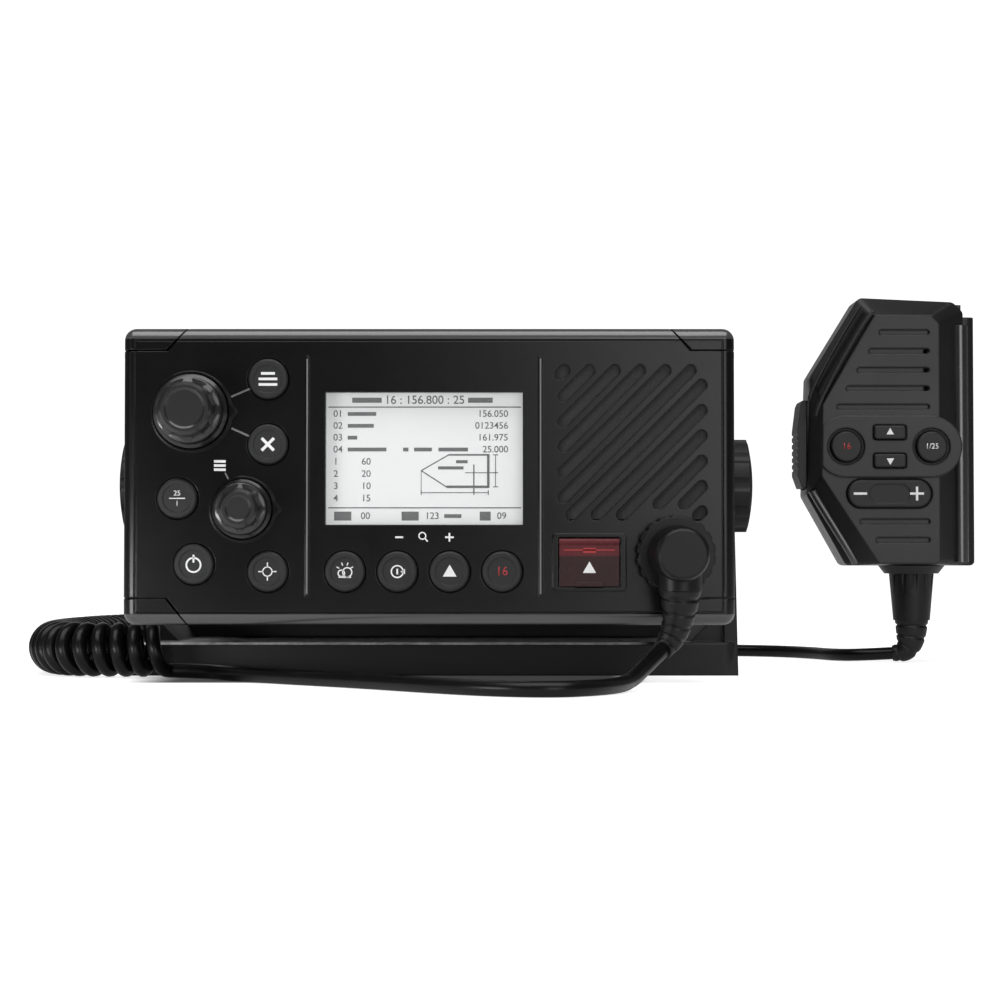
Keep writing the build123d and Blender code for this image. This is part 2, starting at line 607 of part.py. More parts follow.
# ================================================================ speaker, socket, distress key
def make_speaker_basket():
    """Pressed basket with its magnet, open towards the grille."""
    x, z = SPEAKER_AT
    back = FACE_BACK + SPEAKER_DEEP
    profile = [
        (SPEAKER_R - 2.6, FACE_BACK), (SPEAKER_R, FACE_BACK), (SPEAKER_R, FACE_BACK + 1.5),
        (SPEAKER_R - 2.0, FACE_BACK + 1.8), (MAGNET_R + 0.6, back - 5.2), (MAGNET_R, back - 5.0),
        (MAGNET_R, back), (0, back), (0, back - 4.4), (6.0, back - 4.4), (6.0, back - 6.4),
        (MAGNET_R - 1.2, back - 6.4), (SPEAKER_R - 3.4, FACE_BACK + 2.0),
    ]
    return turned((x, z), profile)


def make_speaker_cone():
    """Paper cone and dust cap, hung inside the basket's rim."""
    back = FACE_BACK + SPEAKER_DEEP
    profile = [
        (SPEAKER_R - 3.5, FACE_BACK + 1.2), (SPEAKER_R - 2.9, FACE_BACK + 0.4), (SPEAKER_R - 3.6, FACE_BACK + 0.4),
        (5.6, back - 7.9), (3.0, back - 9.0), (0, back - 9.3), (0, back - 8.6), (5.2, back - 6.9), (5.6, back - 6.7),
    ]
    return turned(SPEAKER_AT, profile)


def make_mic_socket():
    front = FRONT_Y - SOCKET_COLLAR_RISE
    socket = disc(PLUG_AT, SOCKET_COLLAR_R, front, FRONT_Y)
    socket += disc(PLUG_AT, SOCKET_BARREL_R, FRONT_Y - 0.5, FACE_BACK + 6.0)
    nut = Pos(*PLUG_AT) * RegularPolygon(SOCKET_BARREL_R + 1.9, 6)
    socket += between(nut, FACE_BACK, FACE_BACK + 2.6)
    pins = Sketch()
    for number in range(8):
        angle = math.radians(45 * number)
        pins += Pos(PLUG_AT[0] + 3.6 * math.cos(angle), PLUG_AT[1] + 3.6 * math.sin(angle)) * Circle(0.5)
    return socket + between(pins, FACE_BACK + 5.5, FACE_BACK + 9.0)


def make_distress_key():
    place = (DISTRESS_AT[0], distress_key_z())
    front = FRONT_Y + POCKET_DEEP - 1.0
    cap = RectangleRounded(DISTRESS_KEY_WIDTH, DISTRESS_KEY_HEIGHT, 0.8)
    key = between(Pos(*place) * cap, front, KEY_FLANGE_FRONT + 0.1)
    key = chamfer(key.faces().sort_by(Axis.Y)[0].edges(), 0.3)
    flange = Rectangle(DISTRESS_KEY_WIDTH + 2.0, DISTRESS_KEY_HEIGHT + 2.0)
    key += between(Pos(*place) * flange, KEY_FLANGE_FRONT, KEY_FLANGE_BACK)
    return key + disc(place, KEY_STEM_R, KEY_FLANGE_BACK - 0.1, MAT_BACK - KEY_TRAVEL - GAP)


def make_distress_cover():
    """Flap with a hinge barrel along its top edge and a finger lip at its foot."""
    height, depth = flap_hinge()
    width = POCKET_WIDTH - 2 * GAP
    low = DISTRESS_AT[1] - POCKET_HEIGHT / 2 + GAP
    front = FRONT_Y - FRAME_RISE
    plate = board_area(DISTRESS_AT[0] - width / 2, DISTRESS_AT[0] + width / 2, low, height)
    flap = between(plate, front, front + FLAP_THICK)
    lip = board_area(DISTRESS_AT[0] - 4, DISTRESS_AT[0] + 4, low, low + 1.1)
    flap += between(lip, front - 0.7, front + 0.2)
    flap += side_rod(FLAP_BARREL_R, DISTRESS_AT[0] - width / 2, DISTRESS_AT[0] + width / 2, depth, AXIS_Z + height)
    return flap - side_rod(FLAP_PIN_R + RUNNING, DISTRESS_AT[0] - width, DISTRESS_AT[0] + width, depth, AXIS_Z + height)


def make_distress_pin():
    height, depth = flap_hinge()
    reach = FRAME_WIDTH / 2 - 0.7
    return side_rod(FLAP_PIN_R, DISTRESS_AT[0] - reach, DISTRESS_AT[0] + reach, depth, AXIS_Z + height)


# ================================================================ rear housing and what is inside it
def housing_screws():
    """Front-view places of the six screws that hold the housing's flange to the bezel's ledge."""
    x = (HOUSING_WIDTH + CAVITY_WIDTH) / 4
    return [(side * x, z) for side in (-1, 1) for z in (-27.0, 0.0, 27.0)]


def housing_section(shrink):
    return RectangleRounded(HOUSING_WIDTH - 2 * shrink, HOUSING_HEIGHT - 2 * shrink, HOUSING_CORNER - shrink / 2)


def make_rear_housing():
    """Deep die-cast shell: flange at the front, gimbal bosses at the sides, fins and connectors behind."""
    depth = HOUSING_REAR_Y - FLANGE_FRONT
    start = Plane(origin=(0, FLANGE_FRONT, AXIS_Z), x_dir=(-1, 0, 0), z_dir=(0, 1, 0))
    shell = extrude(start * housing_section(0), depth, taper=HOUSING_TAPER)
    flange = RectangleRounded(CAVITY_WIDTH - 2 * GAP, CAVITY_HEIGHT - 2 * GAP, BEZEL_CORNER)
    for side, level in corners():
        notch_x = side * (BEZEL_WIDTH / 2 - LUG_WIDTH / 2)
        notch_z = level * (BEZEL_HEIGHT / 2 - LUG_HEIGHT / 2)
        flange -= Pos(notch_x, notch_z) * Rectangle(LUG_WIDTH + 2 * GAP, LUG_HEIGHT + 2 * GAP)
    shell += between(flange, FLANGE_FRONT, FLANGE_BACK)
    for side in (-1, 1):
        boss = side_rod(AXLE_BOSS_R, side * (HOUSING_WIDTH / 2 - HOUSING_WALL - 1), side * AXLE_BOSS_END_X)
        shell += chamfer(boss.faces().sort_by(Axis.X)[-1 if side > 0 else 0].edges(), 1.0)
    for number in range(FIN_COUNT):
        x = (number - (FIN_COUNT - 1) / 2) * FIN_PITCH
        fin = board_area(x - FIN_THICK / 2, x + FIN_THICK / 2, FIN_LOW, FIN_HIGH)
        shell += between(fin, HOUSING_REAR_Y - CUT, HOUSING_REAR_Y + FIN_DEEP)
    inside = extrude(start * housing_section(HOUSING_WALL), depth - HOUSING_END_WALL, taper=HOUSING_TAPER)
    shell -= inside
    slope = math.tan(math.radians(HOUSING_TAPER))
    for x in (-STANDOFF_X, STANDOFF_X):
        for y in (STANDOFF_FRONT_Y, STANDOFF_REAR_Y):
            low = -HOUSING_HEIGHT / 2 + HOUSING_WALL + slope * (y - FLANGE_FRONT) - 0.8
            post = Cylinder(STANDOFF_R, MAIN_BOARD_Z - low)
            shell += Pos(x, y, AXIS_Z + (MAIN_BOARD_Z + low) / 2) * post
            shell -= Pos(x, y, AXIS_Z + MAIN_BOARD_Z - 3) * Cylinder(PILOT_R, PILOT_LONG)
    for side in (-1, 1):
        shell -= side_rod(INSERT_R, side * (AXLE_BOSS_END_X - INSERT_LONG), side * (AXLE_BOSS_END_X + CUT))
    for place in housing_screws():
        shell -= disc(place, PILOT_R, FLANGE_FRONT - CUT, FLANGE_BACK + CUT)
    for x, radius in ((ANTENNA_X, 6.0), (DATA_X, 5.0), (POWER_X, 5.0)):
        shell -= disc((x, CONNECTOR_Z), radius + SNUG, HOUSING_REAR_Y - 2 * HOUSING_END_WALL, HOUSING_REAR_Y + CUT)
    return shell


def make_front_gasket():
    outer = RectangleRounded(LEDGE_WIDTH + 0.4 + 2 * GASKET_WIDTH, LEDGE_HEIGHT + 0.4 + 2 * GASKET_WIDTH, 2.4)
    inner = RectangleRounded(LEDGE_WIDTH + 0.4, LEDGE_HEIGHT + 0.4, 1.0)
    return between(outer - inner, LEDGE_BACK, FLANGE_FRONT)


def make_radio_screws():
    """Six flange screws and four board screws."""
    screws = []
    for place in housing_screws():
        head = disc(place, 2.3, FLANGE_BACK, FLANGE_BACK + 1.6)
        head -= between(Pos(*place) * RegularPolygon(1.1, 6), FLANGE_BACK + 0.7, FLANGE_BACK + 2)
        screws.append(head + disc(place, SCREW_R, LEDGE_FRONT + 0.3, FLANGE_BACK + 0.1))
    board_top = AXIS_Z + MAIN_BOARD_Z + BOARD_THICK
    for x in (-STANDOFF_X, STANDOFF_X):
        for y in (STANDOFF_FRONT_Y, STANDOFF_REAR_Y):
            screw = Pos(x, y, board_top + 0.8) * Cylinder(2.4, 1.6)
            screws.append(screw + Pos(x, y, board_top - 2.4) * Cylinder(SCREW_R, 5))
    return screws


def make_main_board():
    """Main board on its standoffs, with its tall components as blocks."""
    front = STANDOFF_FRONT_Y - 6
    rear = STANDOFF_REAR_Y + 6
    low = AXIS_Z + MAIN_BOARD_Z
    board = Pos(0, (front + rear) / 2, low + BOARD_THICK / 2) * Box(MAIN_BOARD_WIDTH, rear - front, BOARD_THICK)
    for x in (-STANDOFF_X, STANDOFF_X):
        for y in (STANDOFF_FRONT_Y, STANDOFF_REAR_Y):
            board -= Pos(x, y, low) * Cylinder(PILOT_R, PILOT_LONG)
    top = low + BOARD_THICK
    for x, y, width, depth, height in ((-36, 20, 18, 14, 7), (-38, -18, 12, 12, 2.4), (-14, -30, 9, 6, 4)):
        board += Pos(x, y, top + height / 2 - 0.1) * Box(width, depth, height + 0.2)
    for x in (-52, -52 + 12):
        board += Pos(x, 42, top + 6) * Cylinder(5, 12.2)
    return board


def make_rf_shield():
    """Pressed can over the transmitter, with a row of vent holes."""
    x, y = SHIELD_AT
    low = AXIS_Z + MAIN_BOARD_Z + BOARD_THICK
    can = Pos(x, y, low + SHIELD_HEIGHT / 2) * Box(SHIELD_WIDTH, SHIELD_DEPTH, SHIELD_HEIGHT)
    can -= Pos(x, y, low + SHIELD_HEIGHT / 2 - 0.8) * Box(SHIELD_WIDTH - 1.6, SHIELD_DEPTH - 1.6, SHIELD_HEIGHT)
    for number in range(5):
        can -= Pos(x + (number - 2) * 9, y, low + SHIELD_HEIGHT) * Cylinder(1.6, 4)
    return can


def make_antenna_socket():
    """Threaded coaxial socket with its flange and nut."""
    place = (ANTENNA_X, CONNECTOR_Z)
    back = HOUSING_REAR_Y
    socket = disc(place, 10.6, back, back + 2.0)
    socket += disc(place, 7.9, back + 1.5, back + 14.0)
    socket += disc(place, 6.0, back - HOUSING_END_WALL - 3.0, back + 1.0)
    socket += between(Pos(*place) * RegularPolygon(8.4, 6), back - HOUSING_END_WALL - 2.4, back - HOUSING_END_WALL)
    return socket - disc(place, 2.0, back + 4.0, back + 15.0)


def make_data_socket():
    """Round network socket with five pins."""
    place = (DATA_X, CONNECTOR_Z)
    back = HOUSING_REAR_Y
    socket = disc(place, 8.0, back, back + 1.8) + disc(place, 6.0, back + 1.5, back + 11.0)
    socket += disc(place, 5.0, back - HOUSING_END_WALL - 2.0, back + 1.0)
    socket -= disc(place, 4.6, back + 4.0, back + 12.0)
    for number in range(5):
        angle = math.radians(90 + 90 * number)
        reach = 2.4 if number < 4 else 0.0
        pin_at = (place[0] + reach * math.cos(angle), place[1] + reach * math.sin(angle))
        socket += disc(pin_at, 0.5, back + 3.5, back + 9.5)
    return socket


def make_power_gland():
    """Sealed gland for the supply lead, with its clamping nut."""
    place = (POWER_X, CONNECTOR_Z)
    back = HOUSING_REAR_Y
    gland = between(Pos(*place) * RegularPolygon(9.0, 6), back, back + 4.0)
    gland += disc(place, 7.4, back + 3.5, back + 12.0) + disc(place, 5.0, back - HOUSING_END_WALL - 2.0, back + 1)
    gland = chamfer(gland.faces().sort_by(Axis.Y)[-1].edges(), 1.6)
    return gland - disc(place, 3.2, back + 3.0, back + 13.0)


# ================================================================ gimbal
def make_gimbal_inserts():
    inserts = []
    for side in (-1, 1):
        near = side * (AXLE_BOSS_END_X - INSERT_LONG)
        far = side * AXLE_BOSS_END_X
        inserts.append(side_rod(INSERT_R, near, far) - side_rod(STUD_R + RUNNING, near - side, far + side))
    return inserts


def make_gimbal_washers():
    washers = []
    for side in (-1, 1):
        near = side * AXLE_BOSS_END_X
        far = side * ARM_INNER_X
        washers.append(side_rod(WASHER_R, near, far) - side_rod(ARM_HOLE_R, near - side, far + side))
    return washers


def make_gimbal_knob():
    """Right-hand clamping knob: a lobed, domed disc moulded on its threaded stud."""
    start = ARM_INNER_X + ARM_THICK
    sketch = Circle(KNOB_R)
    for number in range(KNOB_LOBES):
        sketch -= Rot(0, 0, 360 / KNOB_LOBES * number) * Pos(KNOB_R + 2.2, 0) * Circle(3.3)
    plane = Plane(origin=(start, 0, AXIS_Z), x_dir=(0, 1, 0), z_dir=(1, 0, 0))
    knob = extrude(plane * sketch, KNOB_THICK)
    dome = Pos(start + KNOB_THICK - KNOB_DOME_R, 0, AXIS_Z) * Sphere(KNOB_DOME_R)
    knob &= dome
    knob += side_rod(KNOB_R - 3.2, start, start + 1.0)
    return knob + side_rod(STUD_R, start - STUD_LONG, start + 1.0)


def arm_outline():
    foot = FOOT_DEPTH / 2
    web = make_face(Polyline((-foot, 0), (foot, 0), (ARM_TOP_R, AXIS_Z), (-ARM_TOP_R, AXIS_Z), close=True))
    return web + Pos(0, AXIS_Z) * Circle(ARM_TOP_R)


def make_gimbal_bracket():
    """U-shaped moulded bracket: a ribbed hollow foot, two arms and slanted gussets between them."""
    foot = extrude(RectangleRounded(FOOT_WIDTH, FOOT_DEPTH, FOOT_CORNER), FOOT_HEIGHT)
    foot = chamfer(foot.faces().sort_by(Axis.Z)[-1].edges(), 0.8)
    hollow = RectangleRounded(FOOT_WIDTH - 2 * FOOT_SKIRT, FOOT_DEPTH - 2 * FOOT_SKIRT, FOOT_CORNER - 2)
    ribs = Rectangle(FOOT_WIDTH, FOOT_RIB)
    for x in (-FOOT_BOLT_X / 4, 0, FOOT_BOLT_X / 4):
        ribs += Pos(x, 0) * Rectangle(FOOT_RIB, FOOT_DEPTH)
    bolts = [(x * FOOT_BOLT_X / 2, y * FOOT_BOLT_Y / 2) for x in (-1, 1) for y in (-1, 1)]
    for bolt in bolts:
        ribs += Pos(*bolt) * Circle(FOOT_BOLT_BOSS_R)
    bracket = foot - extrude(hollow - ribs, FOOT_HEIGHT - FOOT_SKIN)
    lip_y = FOOT_DEPTH / 2 - LIP_INSET - LIP_THICK / 2
    bracket += Pos(0, lip_y, (FOOT_HEIGHT + LIP_TOP) / 2 - 0.5) * Box(2 * ARM_INNER_X, LIP_THICK, LIP_TOP - FOOT_HEIGHT + 1)
    side_plane = Plane(origin=(0, 0, 0), x_dir=(0, 1, 0), z_dir=(1, 0, 0))
    for side in (-1, 1):
        near = ARM_INNER_X if side > 0 else -ARM_INNER_X - ARM_THICK
        bracket += Pos(near, 0, 0) * extrude(side_plane * arm_outline(), ARM_THICK)
        gusset = Polyline((side * GUSSET_X, FOOT_HEIGHT - 1), (side * (ARM_INNER_X + 1), FOOT_HEIGHT - 1),
                          (side * (ARM_INNER_X + 1), GUSSET_TOP), (side * ARM_INNER_X, GUSSET_TOP),
                          (side * GUSSET_X, FOOT_HEIGHT), close=True)
        front = Plane(origin=(0, GUSSET_DEPTH / 2, 0), x_dir=(1, 0, 0), z_dir=(0, -1, 0))
        bracket += extrude(front * make_face(gusset), GUSSET_DEPTH)
    bracket -= side_rod(ARM_HOLE_R, -FOOT_WIDTH, FOOT_WIDTH)
    for x, y in bolts:
        bracket -= Pos(x, y, FOOT_HEIGHT / 2) * Cylinder(FOOT_BOLT_R, FOOT_HEIGHT + 2)
        bracket -= Pos(x, y, FOOT_HEIGHT) * Cylinder(FOOT_HEAD_R, 2 * FOOT_HEAD_DEEP)
    return bracket


# ================================================================ handset plug
def make_plug_ring():
    """Knurled locking ring, captive on the plug's hub and over the socket's collar."""
    back = FRONT_Y - GAP
    front = back - PLUG_RING_LONG
    sketch = Circle(PLUG_RING_R)
    for number in range(18):
        sketch -= Rot(0, 0, 20 * number) * Pos(PLUG_RING_R + 0.9, 0) * Circle(1.4)
    ring = between(Pos(*PLUG_AT) * sketch, front + 1.4, back - 1.0)
    ring += disc(PLUG_AT, PLUG_RING_R - 0.6, front, back)
    ring -= disc(PLUG_AT, SOCKET_COLLAR_R + GAP, front + 3.4, back + CUT)
    return ring - disc(PLUG_AT, PLUG_HUB_R + RUNNING, front - CUT, back)


def make_plug_body():
    """Right-angle plug: hub and contacts carrier behind the ring, round head in front, neck downwards."""
    socket_front = FRONT_Y - SOCKET_COLLAR_RISE
    ring_front = FRONT_Y - GAP - PLUG_RING_LONG
    shoulder = ring_front + 3.4 + GAP
    cap_front = FRONT_Y - PLUG_PROUD
    profile = [
        (0, socket_front), (SOCKET_BARREL_R, socket_front), (SOCKET_BARREL_R, shoulder + 1.2),
        (SOCKET_COLLAR_R - 0.2, shoulder + 1.2), (SOCKET_COLLAR_R - 0.2, shoulder), (PLUG_HUB_R, shoulder),
        (PLUG_HUB_R, ring_front - GAP), (PLUG_HEAD_R, ring_front - GAP), (PLUG_CAP_R + 0.5, cap_front + 1.6),
        (PLUG_CAP_R, cap_front + 0.5), (PLUG_CAP_R - 0.6, cap_front), (0, cap_front),
    ]
    body = turned(PLUG_AT, profile)
    neck_y = (ring_front - GAP + cap_front) / 2
    top = AXIS_Z + PLUG_AT[1]
    neck = Pos(PLUG_AT[0], neck_y, (top + PLUG_NECK_END_Z) / 2) * Cylinder(PLUG_NECK_R, top - PLUG_NECK_END_Z)
    return body + neck


def boot_rings(points, radii, thickness):
    """Discs square to the path at each of its points, strung on a tapered core."""
    boot = None
    for number, (point, radius) in enumerate(zip(points, radii)):
        before = Vector(points[max(number - 1, 0)])
        after = Vector(points[min(number + 1, len(points) - 1)])
        ring = Plane(origin=point, z_dir=after - before) * Cylinder(radius, thickness)
        boot = ring if boot is None else boot + ring
    return boot


def core_along(points, radius_from, radius_to):
    """A tapered core: a ruled loft through a circle at each point."""
    sections = []
    for number, point in enumerate(points):
        before = Vector(points[max(number - 1, 0)])
        after = Vector(points[min(number + 1, len(points) - 1)])
        share = number / (len(points) - 1)
        radius = radius_from + (radius_to - radius_from) * share
        sections.append(Plane(origin=point, z_dir=after - before) * Circle(radius))
    return loft(sections, ruled=True)


def beyond(end, heading):
    """Block past the end of a boot, where its cord starts."""
    return Plane(origin=end, z_dir=heading) * Pos(0, 0, 6) * Box(24, 24, 12)


def plug_boot_points():
    ring_front = FRONT_Y - GAP - PLUG_RING_LONG
    neck_y = (ring_front - GAP + FRONT_Y - PLUG_PROUD) / 2
    start = Vector(PLUG_AT[0], neck_y, PLUG_NECK_END_Z)
    end = Vector(LEAD_ROUTE[0])
    tangent = (end - Vector(LEAD_ROUTE[1])).normalized()
    return start, end, tangent


def bezier_points(start, start_pull, end, end_pull, count):
    """Points on a cubic curve between two ends, each with its own pull."""
    points = []
    for number in range(count):
        t = number / (count - 1)
        one, two = start + start_pull, end + end_pull
        point = start * (1 - t) ** 3 + one * (3 * t * (1 - t) ** 2) + two * (3 * t * t * (1 - t)) + end * t ** 3
        points.append(point)
    return points


def make_plug_boot():
    """Ribbed strain relief that turns from the plug's neck down to the surface."""
    start, end, tangent = plug_boot_points()
    points = bezier_points(start, Vector(0, 0, -7), end, tangent * 7, 8)
    points[-1] = end
    core = core_along(points, PLUG_NECK_R - 1.2, CORD_R + 0.5)
    rings = []
    for number in range(7):
        share = number / 7
        rings.append((points[number] + points[number + 1]) / 2)
    radii = [PLUG_NECK_R - (PLUG_NECK_R - CORD_R - 1.3) * number / 7 for number in range(7)]
    boot = core + boot_rings(rings, radii, 1.7)
    boot = boot & (Pos(0, 0, PLUG_NECK_END_Z / 2) * Box(600, 600, PLUG_NECK_END_Z))
    return boot - beyond(end, tangent * -1)


# ================================================================ handset
def handset_plane(y):
    """Sketch plane of the handset at depth y: sketch X from the cord's axis, sketch Y from its underside."""
    return Plane(origin=(HANDSET_X, y, HANDSET_Z), x_dir=(1, 0, 0), z_dir=(0, -1, 0))


def handset_slab(sketch, y_front, y_back):
    return extrude(handset_plane(y_back) * sketch, y_back - y_front)


def handset_disc(place, radius, y_front, y_back):
    return handset_slab(Pos(*place) * Circle(radius), y_front, y_back)


def handset_outline(right, inset=0.0):
    """Outline of the shells where they are widest, with every side moved in by the inset."""
    shoulder = -19.6 - HANDSET_LEFT
    points = [
        (HANDSET_LEFT + 13.6, 0), (right, 0), (right, HANDSET_TOP - 5.0), (right - 3.6, HANDSET_TOP - 1.5),
        (HANDSET_LEFT + shoulder, HANDSET_TOP), (HANDSET_LEFT + 1.3, HANDSET_TOP - 27.7), (HANDSET_LEFT, 24.4),
    ]
    sketch = make_face(Polyline(*points, close=True))
    sketch = fillet(sketch.vertices(), 2.5)
    return offset(sketch, amount=-inset) if inset else sketch


def handset_panel(inset=0.0):
    """Outline of the flat front panel, inside its bevels."""
    points = [
        (HANDSET_LEFT + 24.2, 0.6), (HANDSET_RIGHT - 9.7, 0.6), (HANDSET_RIGHT - 9.7, HANDSET_TOP - 9.7),
        (HANDSET_RIGHT - 12.5, HANDSET_TOP - 6.9), (HANDSET_LEFT + 22.8, HANDSET_TOP - 6.9),
        (HANDSET_LEFT + 4.7, HANDSET_TOP - 38.0), (HANDSET_LEFT + 4.3, 31.0),
    ]
    sketch = make_face(Polyline(*points, close=True))
    sketch = fillet(sketch.vertices(), 1.5)
    return offset(sketch, amount=-inset) if inset else sketch


def island_sketch():
    between_keys = (CALL_KEY_AT[0] + POWER_KEY_AT[0]) / 2
    width = POWER_KEY_AT[0] - CALL_KEY_AT[0]
    sketch = Pos(between_keys, CALL_KEY_AT[1]) * Rectangle(width, 2 * ISLAND_R)
    sketch += Pos(*CALL_KEY_AT) * Circle(ISLAND_R)
    sketch = (sketch & handset_panel()) + Pos(*POWER_KEY_AT) * Circle(ISLAND_R)
    return sketch


def handset_key_sketches(clearance):
    return {
        "handset_key_call": Pos(*CALL_KEY_AT) * Circle(HANDSET_KEY_R + clearance),
        "handset_key_power": Pos(*POWER_KEY_AT) * Circle(HANDSET_KEY_R + clearance),
        "handset_key_up": Pos(*UP_KEY_AT) * RectangleRounded(
            ARROW_KEY_WIDTH + 2 * clearance, ARROW_KEY_HEIGHT + 2 * clearance, 1.0),
        "handset_key_down": Pos(*DOWN_KEY_AT) * RectangleRounded(
            ARROW_KEY_WIDTH + 2 * clearance, ARROW_KEY_HEIGHT + 2 * clearance, 1.0),
    }


def lever_pin_at():
    return HANDSET_LEFT + 2.3, LEVER_LOW + 2.3


def lever_middle_y():
    return HANDSET_SPLIT_Y


def lever_pocket():
    """Space that the press-to-talk lever and its hinge lug need in the shells."""
    half = LEVER_WIDTH / 2 + GAP
    middle = lever_middle_y()
    low = LEVER_LOW - GAP
    high = LEVER_HIGH + GAP
    room = Pos(HANDSET_LEFT - 5 + LEVER_BACK / 2, (low + high) / 2) * Rectangle(10 + LEVER_BACK, high - low)
    pocket = handset_slab(room, middle - half, middle + half)
    return pocket + handset_disc(lever_pin_at(), LEVER_LUG_R + GAP, middle - half, middle + half)


def make_handset_front():
    outer = handset_outline(HANDSET_RIGHT)
    bevel_y = HANDSET_FRONT_Y + HANDSET_BEVEL
    shell = loft([handset_plane(bevel_y) * outer, handset_plane(HANDSET_FRONT_Y) * handset_panel()], ruled=True)
    shell += handset_slab(outer, bevel_y, HANDSET_SPLIT_Y)
    shell += handset_slab(island_sketch(), HANDSET_FRONT_Y - ISLAND_RISE, bevel_y)
    inner_y = HANDSET_FRONT_Y + HANDSET_FACE_WALL
    inner = handset_outline(HANDSET_RIGHT, HANDSET_WALL)
    shell -= loft([handset_plane(bevel_y) * inner, handset_plane(inner_y) * handset_panel(1.5)], ruled=True)
    shell -= handset_slab(inner, bevel_y - 0.1, HANDSET_SPLIT_Y + CUT)
    shell -= handset_disc(POWER_KEY_AT, HANDSET_KEY_R + 1.4, inner_y, bevel_y)
    for sketch in handset_key_sketches(GAP).values():
        shell -= handset_slab(sketch, HANDSET_FRONT_Y - 5, inner_y + CUT)
    rocker = Pos(*ROCKER_AT) * SlotOverall(ROCKER_WIDTH + 3 * GAP, ROCKER_HEIGHT + 2 * GAP)
    shell -= handset_slab(rocker, HANDSET_FRONT_Y - 5, inner_y + CUT)
    for place in (CALL_KEY_AT, POWER_KEY_AT):
        island_y = HANDSET_FRONT_Y - ISLAND_RISE
        shell -= handset_disc(place, KEY_RECESS_R, island_y - CUT, island_y + KEY_RECESS_DEEP)
    for height, left in handset_grooves():
        middle = (left + GROOVE_RIGHT) / 2
        groove = Pos(middle, height) * SlotOverall(GROOVE_RIGHT - left, GROOVE_WIDTH)
        shell -= handset_slab(groove, HANDSET_FRONT_Y - CUT, HANDSET_FRONT_Y + GROOVE_DEEP)
    for height, left in handset_grooves()[1:4]:
        shell -= handset_disc((GROOVE_RIGHT - 1.2, height), 0.7, HANDSET_FRONT_Y, inner_y + CUT)
    shell -= lever_pocket()
    shell -= handset_disc(lever_pin_at(), LEVER_PIN_R + 0.02, lever_middle_y() - LEVER_WIDTH / 2 - 2.5, HANDSET_SPLIT_Y)
    return shell


def handset_grooves():
    """Height and left end of each groove across the front: five above the keys, two below."""
    rows = [(80.9, -13.5), (74.4, -17.1), (67.8, -21.2), (61.4, -25.0), (55.0, -28.3)]
    return rows + [(15.2, -20.4), (8.8, -14.9)]


def rail_rounding():
    """What is taken off the rail's front edge to round it, in three flats."""
    edge = HANDSET_X + HANDSET_RAIL
    front = HANDSET_SPLIT_Y
    size = RAIL_ROUND
    points = [
        (edge - size, front - 1), (edge - size, front), (edge - 0.42 * size, front + 0.14 * size),
        (edge - 0.14 * size, front + 0.42 * size), (edge, front + size), (edge + 1, front + size), (edge + 1, front - 1),
    ]
    return Pos(0, 0, HANDSET_Z - 1) * extrude(make_face(Polyline(*points, close=True)), HANDSET_TOP + 2)


def make_handset_rear():
    """Rear shell with the side rail that shows past the front shell, tapered towards the back."""
    outer = handset_outline(HANDSET_RAIL) - Pos(HANDSET_RAIL, HANDSET_TOP) * Rectangle(10.0, 2 * RAIL_DROP)
    taper_y = HANDSET_REAR_Y - HANDSET_REAR_TAPER
    shell = handset_slab(outer, HANDSET_SPLIT_Y, taper_y) - rail_rounding()
    rear = offset(handset_outline(HANDSET_RIGHT), amount=-3.2)
    front = handset_outline(HANDSET_RIGHT)
    shell += loft([handset_plane(taper_y) * front, handset_plane(HANDSET_REAR_Y) * rear], ruled=True)
    inner = handset_outline(HANDSET_RIGHT, HANDSET_WALL)
    shell -= handset_slab(inner, HANDSET_SPLIT_Y - CUT, HANDSET_REAR_Y - HANDSET_FACE_WALL - 1)
    for place in handset_screw_places():
        shell += handset_disc(place, 3.4, HANDSET_SPLIT_Y, HANDSET_REAR_Y - HANDSET_FACE_WALL)
        shell -= handset_disc(place, PILOT_R, HANDSET_SPLIT_Y - CUT, HANDSET_REAR_Y + CUT)
        shell -= handset_disc(place, 2.6, HANDSET_REAR_Y - 2.2, HANDSET_REAR_Y + CUT)
    shell -= lever_pocket()
    pin_end = lever_middle_y() + LEVER_WIDTH / 2 + 2.5
    shell -= handset_disc(lever_pin_at(), LEVER_PIN_R + 0.02, HANDSET_SPLIT_Y - CUT, pin_end)
    return shell


def handset_screw_places():
    return [(-15.5, 7.5), (9.0, 7.5), (9.0, 81.0), (-16.0, 81.0)]


def make_handset_screws():
    screws = []
    for place in handset_screw_places():
        screw = handset_disc(place, 2.4, HANDSET_REAR_Y - 2.2, HANDSET_REAR_Y - 0.6)
        screws.append(screw + handset_disc(place, SCREW_R, HANDSET_SPLIT_Y + 1, HANDSET_REAR_Y - 2))
    return screws


def handset_board_front():
    return HANDSET_FRONT_Y + HANDSET_FACE_WALL + GAP + 0.8 + HANDSET_KEY_TRAVEL + GAP + 0.8


def make_handset_board():
    """Board behind the handset's keys, with the press-to-talk switch at its left edge."""
    front = handset_board_front()
    height = HANDSET_BOARD_HIGH - HANDSET_BOARD_LOW
    band = Pos(0, HANDSET_BOARD_LOW + height / 2) * Rectangle(4 * HANDSET_RAIL, height)
    area = handset_outline(HANDSET_RIGHT, HANDSET_BOARD_INSET) & band
    board = handset_slab(area, front, front + 1.2)
    switch = Pos(*TALK_SWITCH_AT) * Rectangle(TALK_SWITCH_WIDTH, TALK_SWITCH_HEIGHT)
    board += handset_slab(switch, front + 1.0, front + 6.0)
    web = Pos(*ROCKER_AT) * Rectangle(1.6 * FULCRUM_R, FULCRUM_LONG)
    board += handset_slab(web, rocker_back(), front + 0.1)
    return board + fulcrum(FULCRUM_R, FULCRUM_LONG)


